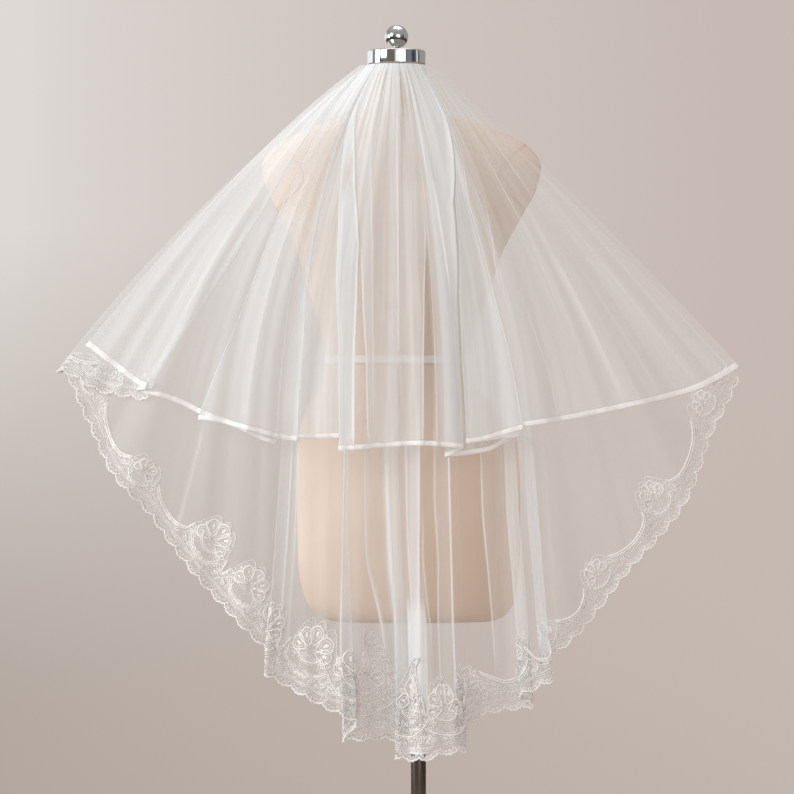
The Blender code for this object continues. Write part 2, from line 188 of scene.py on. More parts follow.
def add_attribute(thing: Thing, name: str, values: Array) -> None:
    """Keeps a number or a vector for each point of a mesh, by name."""
    kind, key = ("FLOAT", "value") if np.ndim(values) == 1 else ("FLOAT_VECTOR", "vector")
    thing.data.attributes.new(name, kind, "POINT").data.foreach_set(key, np.float32(values).ravel())


def add_uv(thing: Thing, places: Array) -> None:
    """Gives a mesh a UV map in metres, from two coordinates for each point."""
    corners = [loop.vertex_index for loop in thing.data.loops]
    thing.data.uv_layers.new(name="cloth").data.foreach_set("uv", np.float32(places)[corners].ravel())


def grid_object(name: str, grid: Array, uv: Array | None = None,
                attributes: dict[str, Array] | None = None, closed: bool = False) -> Thing:
    """Makes an open sheet of quads.

    Args:
        name: Its name.
        grid: Points by column and row.
        uv: Cloth coordinates of the points.
        attributes: More values of the points, by name.
        closed: True where the ends join.

    Returns:
        The sheet.
    """
    columns, rows = grid.shape[:2]
    thing = mesh_object(name, grid.reshape(-1, 3), grid_faces(columns, rows, closed))
    if uv is not None:
        add_uv(thing, uv.reshape(-1, 2))
    for key, values in (attributes or {}).items():
        add_attribute(thing, key, values.reshape(-1))
    return thing


def unit(vectors: Array) -> Array:
    """Makes every vector of an array one long."""
    return vectors / np.maximum(np.linalg.norm(vectors, axis=-1, keepdims=True), 1e-9)


def paired(*parts: Array) -> Array:
    """Joins coordinates that may each run along one side of a grid only."""
    return np.stack(np.broadcast_arrays(*parts), axis=-1)


def directions(angles: Array) -> Array:
    """The level unit vectors that point along angles."""
    return np.stack([np.cos(angles), np.sin(angles)], axis=1)


def along_line(places: Array, knots: Array, line: Array) -> Array:
    """Reads the vectors of a line between its knots."""
    return np.stack([np.interp(places, knots, line[:, k]) for k in range(3)], axis=1)


def outward_normals(grid: Array) -> Array:
    """Unit normals of a grid whose columns run left to right and rows down."""
    return unit(np.cross(np.gradient(grid, axis=1), np.gradient(grid, axis=0)))


def add_wall(thing: Thing, thick: float, offset: float = 0.0) -> None:
    """Gives an open sheet a wall; an offset of -1 grows it inwards, 1 outwards and 0 both ways."""
    wall = thing.modifiers.new("wall", "SOLIDIFY")
    wall.thickness, wall.offset, wall.use_even_offset = thick, offset, False


def turned_object(name: str, profile: Sequence[tuple[float, float]], centre_x: float,
                  steps: int) -> Thing:
    """Turns a profile about an upright axis into a closed mesh.

    Args:
        name: Its name.
        profile: Radii and heights from the top down.
        centre_x: Where the axis stands.
        steps: How many sides.

    Returns:
        The turned piece.
    """
    inner = profile[1:-1]
    angles = np.arange(steps) * 2.0 * math.pi / steps
    points = [(centre_x + r * math.cos(a), r * math.sin(a), z) for a in angles for r, z in inner]
    points += [(centre_x, 0.0, profile[0][1]), (centre_x, 0.0, profile[-1][1])]
    rows, top = len(inner), len(points) - 2
    faces = grid_faces(steps, rows, True).tolist()
    for k in range(steps):
        here, there = k * rows, (k + 1) % steps * rows
        faces.append((top, here, there))
        faces.append((top + 1, there + rows - 1, here + rows - 1))
    return mesh_object(name, np.array(points), faces)


def arc_profile(radius_at: float, height_at: float, radius: float, start: float, end: float,
                steps: int) -> list[tuple[float, float]]:
    """Radii and heights along an arc, in degrees from straight up towards the outside."""
    angles = [math.radians(start + (end - start) * k / steps) for k in range(steps + 1)]
    return [(radius_at + radius * math.sin(a), height_at + radius * math.cos(a)) for a in angles]


def settle(thing: Thing) -> Thing:
    """Turns a piece with modifiers into a plain mesh."""
    graph = bpy.context.evaluated_depsgraph_get()
    mesh = bpy.data.meshes.new_from_object(thing.evaluated_get(graph), preserve_all_data_layers=True,
                                           depsgraph=graph)
    thing.modifiers.clear()
    thing.data = mesh
    return thing


def place_piece(piece: Thing, slot: Slot, *nodes: str, finish: Material | None = None) -> Thing:
    """Lets a finished piece ride on the body and hides the solids that it replaces.

    Args:
        piece: The piece.
        slot: The record's slot; not used.
        nodes: The solids that it replaces.
        finish: Its finish, where it has none yet.

    Returns:
        The piece.
    """
    if finish:
        piece.data.materials.append(finish)
    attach(piece, "root")
    if nodes:
        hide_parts(*nodes)
    LOG.info("%s: %d faces", piece.name, len(piece.data.polygons))
    return piece


# Node trees


@dataclass
class Graph:
    """A node tree that is being wired up."""

    tree: Any

    def node(self, kind: str, inputs: dict[Any, Any] | None = None, **settings: Any) -> Any:
        """Adds a node.

        Args:
            kind: Its type.
            inputs: Values or sockets by name or number.
            settings: Its own settings.

        Returns:
            The node.
        """
        made = self.tree.nodes.new(kind)
        for key, value in settings.items():
            setattr(made, key, value)
        for key, value in (inputs or {}).items():
            self.feed(made.inputs[key], value)
        return made

    def feed(self, socket: Any, value: Any) -> None:
        """Links a socket to an input, or sets the input's own value."""
        if isinstance(value, bpy.types.NodeSocket):
            self.tree.links.new(value, socket)
        else:
            socket.default_value = value

    def maths(self, operation: str, *values: Any, clamp: bool = False) -> Any:
        """Adds a Math node and gives its output; clamp keeps that from 0 to 1."""
        return self.node("ShaderNodeMath", dict(enumerate(values)), operation=operation,
                         use_clamp=clamp).outputs[0]

    def ramp(self, value: Any, low: float, high: float, start: float = 0.0, end: float = 1.0) -> Any:
        """Reads a value as a smooth step from start at low to end at high."""
        return self.node("ShaderNodeMapRange", {0: value, 1: low, 2: high, 3: start, 4: end},
                         interpolation_type="SMOOTHSTEP").outputs[0]

    def mix(self, share: Any, first: Any, second: Any) -> Any:
        """Mixes two colours, with the given share of the second one."""
        return self.node("ShaderNodeMix", {0: share, 6: first, 7: second}, data_type="RGBA").outputs[2]


class ShaderGroups:
    """Effects that several finishes share, each built once as a shader node group."""

    def __init__(self) -> None:
        """Builds the groups."""
        self.weave = self._weave()
        self.shading = self._shading()
        self.net = self._net()

    @staticmethod
    def _tree(name: str, inputs: Sequence[tuple[str, str, Any]],
              outputs: Sequence[tuple[str, str]]) -> tuple[Graph, Any, Any]:
        """Starts a group with named sockets.

        Args:
            name: Its name.
            inputs: Name, kind and value of each.
            outputs: Name and kind of each.

        Returns:
            The graph, its input node and its output node.
        """
        tree = bpy.data.node_groups.new(name, "ShaderNodeTree")
        for label, kind, value in inputs:
            socket = tree.interface.new_socket(label, in_out="INPUT", socket_type=f"NodeSocket{kind}")
            if value is not None:
                socket.default_value = value
        for label, kind in outputs:
            tree.interface.new_socket(label, in_out="OUTPUT", socket_type=f"NodeSocket{kind}")
        graph = Graph(tree)
        return graph, graph.node("NodeGroupInput"), graph.node("NodeGroupOutput")

    def _weave(self) -> Any:
        """Two crossing sets of threads, as a height."""
        graph, source, sink = self._tree("thread_weave", [
            ("Vector", "Vector", None), ("Threads", "Float", 900.0), ("Unevenness", "Float", 0.3)],
            [("Height", "Float")])
        parts = graph.node("ShaderNodeSeparateXYZ", {0: source.outputs["Vector"]})
        turns = graph.maths("MULTIPLY", source.outputs["Threads"], 2.0 * math.pi)
        across = graph.maths("SINE", graph.maths("MULTIPLY", parts.outputs[0], turns))
        along = graph.maths("SINE", graph.maths("MULTIPLY", parts.outputs[1], turns))
        threads = graph.maths("MULTIPLY", across, along)
        noise = graph.node("ShaderNodeTexNoise", {"Vector": source.outputs["Vector"], "Scale": 160.0,
                                                  "Detail": 3.0})
        loose = graph.maths("MULTIPLY", noise.outputs["Fac"], source.outputs["Unevenness"])
        height = graph.maths("MULTIPLY_ADD", threads, 0.5, loose)
        graph.feed(sink.inputs["Height"], height)
        return graph.tree

    def _net(self) -> Any:
        """The small six-sided meshes of tulle, as a value that swings round 0."""
        graph, source, sink = self._tree("tulle_net", [
            ("Vector", "Vector", None), ("Size", "Float", 0.0016)], [("Height", "Float")])
        parts = graph.node("ShaderNodeSeparateXYZ", {0: source.outputs["Vector"]})
        turns = graph.maths("DIVIDE", 2.0 * math.pi, source.outputs["Size"])
        across = graph.maths("MULTIPLY", parts.outputs[0], turns)
        along = graph.maths("MULTIPLY", parts.outputs[1], turns)
        waves = []
        for lean in (0.5, -0.5):
            slant = graph.maths("MULTIPLY_ADD", across, 0.866, graph.maths("MULTIPLY", along, lean))
            waves.append(graph.maths("COSINE", slant))
        sum_of = graph.maths("ADD", graph.maths("COSINE", along), graph.maths("ADD", *waves))
        graph.feed(sink.inputs["Height"], graph.maths("MULTIPLY", sum_of, -0.6))
        return graph.tree

    def _shading(self) -> Any:
        """A base colour with slow and fine variation of its brightness."""
        graph, source, sink = self._tree("soft_variation", [
            ("Vector", "Vector", None), ("Color", "Color", None), ("Shade", "Color", None),
            ("Scale", "Float", 6.0), ("Amount", "Float", 0.4)], [("Color", "Color"), ("Mask", "Float")])
        noise = graph.node("ShaderNodeTexNoise", {"Vector": source.outputs["Vector"],
                                                  "Scale": source.outputs["Scale"], "Detail": 4.0})
        mask = graph.maths("MULTIPLY", graph.ramp(noise.outputs["Fac"], 0.35, 0.7), source.outputs["Amount"])
        graph.feed(sink.inputs["Color"], graph.mix(mask, source.outputs["Color"], source.outputs["Shade"]))
        graph.feed(sink.inputs["Mask"], mask)
        return graph.tree


@dataclass(frozen=True)
class Finish:
    """What every finish has: a name and the settings of its shader."""

    name: str
    colour: Colour
    roughness: float

    def start(self) -> tuple[Material, Graph, Any]:
        """Makes the material.

        Returns:
            The material, its graph and its shader.
        """
        material = bpy.data.materials.new(self.name)
        material.use_nodes = True
        shader = material.node_tree.nodes["Principled BSDF"]
        shader.inputs["Base Color"].default_value = self.colour
        shader.inputs["Roughness"].default_value = self.roughness
        return material, Graph(material.node_tree), shader


@dataclass(frozen=True)
class TulleFinish(Finish):
    """Sheer net: how much it covers is kept on the cloth, and gathers show as streaks along it."""

    shade: Colour = linear(228, 232, 234)
    streaks: float = 0.80
    soft_streaks: float = 0.13
    across_scale: float = 46.0
    down_scale: float = 2.4
    mesh_size: float = 0.0016
    mesh_depth: float = 0.16
    shadow_share: float = 0.35

    def build(self, groups: ShaderGroups) -> Material:
        """Builds the material.

        Args:
            groups: The shared effects.

        Returns:
            The material.
        """
        material, graph, shader = self.start()
        cover = graph.node("ShaderNodeAttribute", attribute_name="cover").outputs["Fac"]
        gather = graph.node("ShaderNodeAttribute", attribute_name="gather").outputs["Fac"]
        cloth = graph.node("ShaderNodeUVMap", uv_map="cloth").outputs["UV"]
        strand = graph.node("ShaderNodeAttribute", attribute_name="strand").outputs["Fac"]
        fall = graph.node("ShaderNodeAttribute", attribute_name="fall").outputs["Fac"]
        along = graph.node("ShaderNodeCombineXYZ", {0: graph.maths("MULTIPLY", strand, self.across_scale),
                                                    1: graph.maths("MULTIPLY", fall, self.down_scale), 2: 0.0})
        lines = graph.node("ShaderNodeTexNoise", {"Vector": along.outputs[0], "Scale": 1.0, "Detail": 2.0,
                                                  "Roughness": 0.62}).outputs["Fac"]
        swing = graph.ramp(lines, 0.36, 0.64, -1.0, 1.0)
        reach = graph.maths("MULTIPLY_ADD", gather, self.streaks, self.soft_streaks)
        net = graph.node("ShaderNodeGroup", {"Vector": cloth, "Size": self.mesh_size}, node_tree=groups.net)
        change = graph.maths("MULTIPLY_ADD", swing, reach, 1.0)
        power = graph.maths("MULTIPLY_ADD", net.outputs["Height"], self.mesh_depth, change)
        seen_through = graph.maths("POWER", graph.maths("SUBTRACT", 1.0, cover), power)
        shadow = graph.node("ShaderNodeLightPath").outputs["Is Shadow Ray"]
        passed = graph.maths("MULTIPLY_ADD", shadow, self.shadow_share - 1.0, 1.0)
        alpha = graph.maths("MULTIPLY", graph.maths("SUBTRACT", 1.0, seen_through, clamp=True), passed)
        graph.feed(shader.inputs["Alpha"], alpha)
        graph.feed(shader.inputs["Base Color"], graph.mix(graph.ramp(lines, 0.3, 0.7), self.shade, self.colour))
        shader.inputs["Specular IOR Level"].default_value = 0.15
        return material


@dataclass(frozen=True)
class WovenFinish(Finish):
    """Opaque woven or knitted cloth: form cover, tape, satin ribbon and embroidery."""

    shade: Colour = (0.5, 0.45, 0.4, 1.0)
    threads: float = 900.0
    relief: float = 0.0002
    variation: float = 0.4
    variation_scale: float = 5.0
    sheen: float = 0.2
    specular: float = 0.3
    anisotropy: float = 0.0
    uses_uv: bool = True

    def build(self, groups: ShaderGroups) -> Material:
        """Builds the material.

        Args:
            groups: The shared effects.

        Returns:
            The material.
        """
        material, graph, shader = self.start()
        if self.uses_uv:
            place = graph.node("ShaderNodeUVMap", uv_map="cloth").outputs["UV"]
        else:
            place = graph.node("ShaderNodeTexCoord").outputs["Object"]
        weave = graph.node("ShaderNodeGroup", {"Vector": place, "Threads": self.threads},
                           node_tree=groups.weave)
        tone = graph.node("ShaderNodeGroup", {
            "Vector": place, "Color": self.colour, "Shade": self.shade, "Scale": self.variation_scale,
            "Amount": self.variation}, node_tree=groups.shading)
        graph.feed(shader.inputs["Base Color"], tone.outputs["Color"])
        bump = graph.node("ShaderNodeBump", {"Height": weave.outputs["Height"], "Strength": 0.6,
                                             "Distance": self.relief})
        graph.feed(shader.inputs["Normal"], bump.outputs[0])
        shader.inputs["Sheen Weight"].default_value = self.sheen
        shader.inputs["Specular IOR Level"].default_value = self.specular
        shader.inputs["Anisotropic"].default_value = self.anisotropy
        return material


@dataclass(frozen=True)
class LaceNetFinish(Finish):
    """The net ground of the lace, worked all over with fine curled lines of thread."""

    shade: Colour = linear(222, 218, 214)
    cover: float = 0.07
    curl_size: float = 0.0085
    curls: float = 26.0

    def build(self, groups: ShaderGroups) -> Material:
        """Builds the material.

        Args:
            groups: The shared effects.

        Returns:
            The material.
        """
        material, graph, shader = self.start()
        cloth = graph.node("ShaderNodeUVMap", uv_map="cloth").outputs["UV"]
        cells = graph.node("ShaderNodeTexVoronoi", {"Vector": cloth, "Scale": 1.0 / self.curl_size,
                                                    "Randomness": 0.9}, feature="F1")
        rings = graph.maths("SINE", graph.maths("MULTIPLY", cells.outputs["Distance"], self.curls))
        thread = graph.ramp(rings, 0.15, 0.75)
        edge = graph.node("ShaderNodeAttribute", attribute_name="edge").outputs["Fac"]
        noise = graph.node("ShaderNodeTexNoise", {"Vector": cloth, "Scale": 110.0, "Detail": 2.0})
        worked = graph.maths("MULTIPLY", thread, graph.ramp(noise.outputs["Fac"], 0.38, 0.62, 0.05, 0.42))
        cover = graph.maths("ADD", graph.maths("ADD", worked, self.cover), graph.maths("MULTIPLY", edge, 0.22),
                            clamp=True)
        shadow = graph.node("ShaderNodeLightPath").outputs["Is Shadow Ray"]
        graph.feed(shader.inputs["Alpha"],
                   graph.maths("MULTIPLY", cover, graph.maths("MULTIPLY_ADD", shadow, -0.6, 1.0)))
        tone = graph.node("ShaderNodeGroup", {
            "Vector": cloth, "Color": self.colour, "Shade": self.shade, "Scale": 40.0, "Amount": 0.5},
            node_tree=groups.shading)
        graph.feed(shader.inputs["Base Color"], tone.outputs["Color"])
        bump = graph.node("ShaderNodeBump", {"Height": thread, "Strength": 0.5, "Distance": 0.0004})
        graph.feed(shader.inputs["Normal"], bump.outputs[0])
        shader.inputs["Sheen Weight"].default_value = 0.2
        return material


@dataclass(frozen=True)
class MetalFinish(Finish):
    """Polished or satin metal with fine wear."""

    shade: Colour = (0.4, 0.4, 0.4, 1.0)
    wear: float = 0.06
    worn: float = 0.35

    def build(self, groups: ShaderGroups) -> Material:
        """Builds the material.

        Args:
            groups: The shared effects.

        Returns:
            The material.
        """
        material, graph, shader = self.start()
        place = graph.node("ShaderNodeTexCoord").outputs["Object"]
        tone = graph.node("ShaderNodeGroup", {
            "Vector": place, "Color": self.colour, "Shade": self.shade, "Scale": 30.0, "Amount": self.worn},
            node_tree=groups.shading)
        graph.feed(shader.inputs["Base Color"], tone.outputs["Color"])
        rough = graph.maths("MULTIPLY_ADD", tone.outputs["Mask"], self.wear / self.worn, self.roughness)
        graph.feed(shader.inputs["Roughness"], rough)
        shader.inputs["Metallic"].default_value = 1.0
        return material


class Finishes:
    """Every finish of the veil, the form and the stand."""

    def __init__(self) -> None:
        """Builds the materials round the shared effects."""
        groups = ShaderGroups()
        white, ivory = linear(248, 250, 251), linear(250, 249, 247)
        self.tulle = TulleFinish("sheer_tulle", linear(244, 247, 248), 0.9).build(groups)
        self.net = LaceNetFinish("lace_net", white, 0.85).build(groups)
        self.thread = WovenFinish("embroidery_thread", linear(253, 252, 251), 0.55, shade=linear(236, 232, 229),
                                  threads=700.0, relief=0.0001, variation_scale=60.0, sheen=1.0,
                                  uses_uv=False).build(groups)
        self.satin = WovenFinish("ribbon_satin", linear(253, 254, 255), 0.34, shade=linear(236, 236, 236),
                                 threads=1400.0, relief=0.00008, variation=0.6, variation_scale=22.0,
                                 sheen=0.3, specular=0.55, anisotropy=0.4).build(groups)
        self.stitch = WovenFinish("ribbon_stitches", linear(244, 241, 237), 0.6, shade=linear(214, 208, 202),
                                  uses_uv=False).build(groups)
        self.band = WovenFinish("gathered_band", ivory, 0.7, shade=linear(228, 223, 218), threads=800.0,
                                relief=0.0003, variation=0.6, variation_scale=60.0).build(groups)
        self.cover = WovenFinish("form_knit_cover", linear(232, 213, 197), 0.85, shade=linear(222, 202, 184),
                                 threads=650.0, relief=0.00025, variation=0.5, variation_scale=3.5,
                                 sheen=0.12, specular=0.2).build(groups)
        self.seam = WovenFinish("form_seam_thread", linear(206, 184, 164), 0.85, shade=linear(190, 168, 148),
                                uses_uv=False).build(groups)
        self.tape = WovenFinish("white_waist_tape", linear(244, 241, 236), 0.75, shade=linear(226, 221, 214),
                                threads=800.0, relief=0.0002).build(groups)
        self.chrome = MetalFinish("polished_chrome", linear(232, 232, 230), 0.05, shade=linear(214, 213, 210),
                                  wear=0.03).build(groups)
        self.stand = MetalFinish("dark_stand_metal", linear(112, 103, 94), 0.30, shade=linear(82, 74, 66),
                                 wear=0.15).build(groups)


# Geometry Nodes


@dataclass
class RepeatTree:
    """A Geometry Nodes tree with named inputs that makes one kind of repeated shape."""

    name: str
    tree: Any = None
    sockets: dict[str, str] = field(default_factory=dict)

    def start(self, inputs: Sequence[tuple[str, str]]) -> tuple[Graph, Any]:
        """Makes the tree with its sockets.

        Args:
            inputs: Name and kind of each.

        Returns:
            The tree's graph and its input node.
        """
        self.tree = bpy.data.node_groups.new(self.name, "GeometryNodeTree")
        face = self.tree.interface
        face.new_socket("Geometry", in_out="INPUT", socket_type="NodeSocketGeometry")
        for label, kind in inputs:
            made = face.new_socket(label, in_out="INPUT", socket_type=f"NodeSocket{kind}")
            self.sockets[label] = made.identifier
        face.new_socket("Geometry", in_out="OUTPUT", socket_type="NodeSocketGeometry")
        graph = Graph(self.tree)
        return graph, graph.node("NodeGroupInput")

    def end(self, graph: Graph, shape: Any, finish: Any) -> None:
        """Ends the tree with real, smooth geometry in its finish.

        Args:
            graph: The tree's graph.
            shape: The finished shape.
            finish: Its material.
        """
        real = graph.node("GeometryNodeRealizeInstances", {"Geometry": shape})
        smooth = graph.node("GeometryNodeSetShadeSmooth", {"Geometry": real.outputs[0]})
        dressed = graph.node("GeometryNodeSetMaterial", {"Geometry": smooth.outputs[0], "Material": finish})
        graph.node("NodeGroupOutput", {"Geometry": dressed.outputs[0]})

    def run(self, thing: Thing, **values: Any) -> Thing:
        """Runs the tree on an object and keeps the plain mesh.

        Args:
            thing: The object.
            values: The tree's inputs by name.

        Returns:
            The same object.
        """
        modifier = thing.modifiers.new(self.name, "NODES")
        modifier.node_group = self.tree
        for key, value in values.items():
            modifier[self.sockets[key.replace("_", " ")]] = value
        return settle(thing)


class Repeats:
    """The trees for cords along lines and for pads and stitches at points."""

    def __init__(self) -> None:
        """Builds both trees."""
        self.cords = self._cords()
        self.scatter = self._scatter()

    @staticmethod
    def _cords() -> RepeatTree:
        """A round cord along every line of edges."""
        made = RepeatTree("cords_along_lines")
        graph, source = made.start([("Radius", "Float"), ("Sides", "Int"), ("Finish", "Material")])
        lines = graph.node("GeometryNodeMeshToCurve", {"Mesh": source.outputs["Geometry"]})
        ring = graph.node("GeometryNodeCurvePrimitiveCircle", {"Resolution": source.outputs["Sides"],
                                                               "Radius": source.outputs["Radius"]})
        cord = graph.node("GeometryNodeCurveToMesh", {"Curve": lines.outputs[0],
                                                      "Profile Curve": ring.outputs[0], "Fill Caps": True})
        made.end(graph, cord.outputs[0], source.outputs["Finish"])
        return made

    @staticmethod
    def _scatter() -> RepeatTree:
        """A copy of one small shape at every point, turned and sized by the point's own values."""
        made = RepeatTree("shapes_at_points")
        graph, source = made.start([("Shape", "Object"), ("Finish", "Material")])
        shape = graph.node("GeometryNodeObjectInfo", {"Object": source.outputs["Shape"]})
        turn = graph.node("GeometryNodeInputNamedAttribute", {"Name": "turn"}, data_type="FLOAT_VECTOR")
        size = graph.node("GeometryNodeInputNamedAttribute", {"Name": "size"}, data_type="FLOAT_VECTOR")
        rotation = graph.node("FunctionNodeEulerToRotation", {0: turn.outputs["Attribute"]})
        copies = graph.node("GeometryNodeInstanceOnPoints", {
            "Points": source.outputs["Geometry"], "Instance": shape.outputs["Geometry"],
            "Rotation": rotation.outputs[0], "Scale": size.outputs["Attribute"]})
        made.end(graph, copies.outputs[0], source.outputs["Finish"])
        return made


def pad_shape(name: str, sides: int, rings: int) -> Thing:
    """A small domed pad of unit half sizes, as satin stitch makes.

    Args:
        name: Its name.
        sides: How many sides.
        rings: How many rings.

    Returns:
        The pad.
    """
    points, faces = [], []
    for ring in range(rings):
        lean = math.pi / 2.0 * ring / rings
        for k in range(sides):
            angle = 2.0 * math.pi * k / sides
            points.append((math.cos(lean) * math.cos(angle), math.cos(lean) * math.sin(angle), math.sin(lean)))
    points.append((0.0, 0.0, 1.0))
    for ring in range(rings - 1):
        for k in range(sides):
            here, there = ring * sides + k, ring * sides + (k + 1) % sides
            faces.append((here, there, there + sides, here + sides))
    last = (rings - 1) * sides
    faces += [(last + k, last + (k + 1) % sides, len(points) - 1) for k in range(sides)]
    return mesh_object(name, np.array(points), faces)


def scattered(name: str, places: Array, turns: Array, sizes: Array, shape: Thing,
              repeats: Repeats, finish: Material) -> Thing:
    """Puts copies of a shape at points.

    Args:
        name: The piece's name.
        places: The points.
        turns: The Euler angles.
        sizes: The scales.
        shape: The shape.
        repeats: The trees.
        finish: The finish.

    Returns:
        One joined piece.
    """
    thing = mesh_object(name, places, [])
    add_attribute(thing, "turn", turns)
    add_attribute(thing, "size", sizes)
    return repeats.scatter.run(thing, Shape=shape, Finish=finish)


def corded(name: str, lines: Sequence[Array], radius: float, sides: int, repeats: Repeats,
           finish: Material) -> Thing:
    """Lays a round cord along each line.

    Args:
        name: The piece's name.
        lines: The lines, closed where they end at their start.
        radius: The cord's radius.
        sides: Its sides.
        repeats: The trees.
        finish: The finish.

    Returns:
        One joined piece.
    """
    points, edges, first = [], [], 0
    for line in lines:
        closed = np.linalg.norm(line[0] - line[-1]) < 1e-7
        kept = line[:-1] if closed else line
        count = len(kept)
        points.append(kept)
        edges += [(first + k, first + k + 1) for k in range(count - 1)]
        if closed:
            edges.append((first + count - 1, first))
        first += count
    thing = mesh_object(name, np.concatenate(points), [], edges)
    return repeats.cords.run(thing, Radius=radius, Sides=sides, Finish=finish)


def euler_of(across: Array, up: Array, out: Array) -> Triple:
    """The Euler angles of a frame of three unit vectors."""
    return tuple(Matrix((across, up, out)).transposed().to_euler("XYZ"))


# The drape of the veil


@dataclass(frozen=True)
class Fan:
    """A side of the veil: how its columns leave the straight fall and how high they end."""

    straight_to: float
    fanned_from: float
    outer_bow: float
    rise: float
    rise_power: float


@dataclass(frozen=True)
class Wave:
    """A slow wave of the cloth towards the viewer and back."""

    length: float
    height: float
    start: float


@dataclass(frozen=True)
class Fold:
    """A listed fold, which all cloth beside it follows from the hem to the neck.

    The column is its place at the hem, and the path gives its column at rising heights.  The ridge
    fades out below low and above high.
    """

    column: float
    low: float
    high: float
    width: float
    lift: float
    cover: float
    path: tuple[tuple[float, float], ...]


@dataclass(frozen=True)
class Panel:
    """A stretch between two columns where the net lies thicker, or thinner where cover is below 0."""

    left: float
    right: float
    low: float
    high: float
    soft: float
    cover: float


@dataclass(frozen=True)
class Station:
    """A place on a tier's hem; the layer is that of the stretch that ends there."""

    across: float
    height: float
    layer: int


@dataclass(frozen=True)
class Drape:
    """Carries a column of the cloth from the gathers at the neck to its place on the hem."""

    neck_x: float = -0.033
    top: float = 1.5170
    neck_radius: float = 0.0465
    neck_spread: float = math.radians(86.0)
    half_span: float = 0.475
    depth_middle: float = 0.165
    depth_wing: float = 0.105
    depth_growth: float = 0.110
    step_top: float = 0.0022
    step_hem: float = 0.0100
    layer_growth: float = 0.25
    gap_top: float = 0.0020
    gap_hem: float = 0.010
    reference_drop: float = 0.570
    left: Fan = Fan(0.12, 0.50, 0.20, 0.154, 2.7)
    right: Fan = Fan(0.05, 0.45, 0.08, 0.122, 1.5)
    waves: tuple[Wave, ...] = (Wave(0.138, 0.0080, 0.30), Wave(0.079, 0.0030, 1.10))
    ripples: tuple[Wave, ...] = (
        Wave(0.0437, 0.0019, 0.7), Wave(0.0271, 0.0011, 2.1), Wave(0.0713, 0.0020, 4.0))
    wave_full_drop: float = 0.90

    def point(self, column: Any, height: Any, out: Any) -> Array:
        """Finds points of the veil.

        Args:
            column: Where the column ends across.
            height: The height.
            out: How far outside the deepest layer.

        Returns:
            The points, with their coordinates last.
        """
        column, height, out = np.broadcast_arrays(*(np.asarray(v, dtype=float) for v in (column, height, out)))
        drop, side = np.maximum(self.top - height, 0.0), column - self.neck_x
        is_left = side < 0.0
        share = np.minimum(np.abs(side) / self.half_span, 1.15)
        rise, power, outer, near, far = (
            np.where(is_left, getattr(self.left, key), getattr(self.right, key))
            for key in ("rise", "rise_power", "outer_bow", "straight_to", "fanned_from"))
        full_drop = self.reference_drop - rise * share**power
        fanned = np.clip((np.abs(side) - near) / (far - near), 0.0, 1.0)
        bow = 1.0 + (outer - 1.0) * fanned * fanned * (3.0 - 2.0 * fanned)
        fall = drop / full_drop
        reach = np.where(fall < 1.0, fall + bow * fall * (1.0 - fall), 1.0 + (1.0 - bow) * (fall - 1.0))
        angle = self.neck_spread * side / self.half_span
        across_top = self.neck_x + self.neck_radius * np.sin(angle)
        hang = 1.0 - np.exp(-drop / self.depth_growth)
        depth = self.depth_middle + (self.depth_wing - self.depth_middle) * share**2
        for wave in self.waves + self.ripples:
            swing = np.sin(2.0 * math.pi * column / wave.length + wave.start)
            depth = depth + wave.height * swing * drop / self.wave_full_drop
        x = across_top + (column - across_top) * reach + out * (1.0 - hang) * np.sin(angle)
        y = -(1.0 - hang) * (self.neck_radius + out) * np.cos(angle) - hang * (depth + out)
        return np.stack([x, y, height], axis=-1)

    def offset(self, layer: Any, height: Any, tier: Tier) -> Array:
        """Finds how far outside the deepest layer a layer lies.

        Args:
            layer: The layer's number.
            height: The height.
            tier: Its tier.

        Returns:
            The distance.
        """
        spread = 1.0 - np.exp(-(self.top - height) / self.layer_growth)
        step = self.step_top + (self.step_hem - self.step_top) * spread
        gap = self.gap_top + (self.gap_hem - self.gap_top) * spread
        return layer * step + (2.0 * step + gap if tier is Tier.UPPER else 0.0)

    def column_at(self, across: float, height: float) -> float:
        """Finds the column whose line passes a place.

        Args:
            across: The place across.
            height: Its height.

        Returns:
            The column.
        """
        low, high = self.neck_x - 1.3 * self.half_span, self.neck_x + 1.3 * self.half_span
        for _ in range(40):
            middle = (low + high) / 2.0
            if self.point(middle, height, 0.0)[0] < across:
                low = middle
            else:
                high = middle
        return (low + high) / 2.0


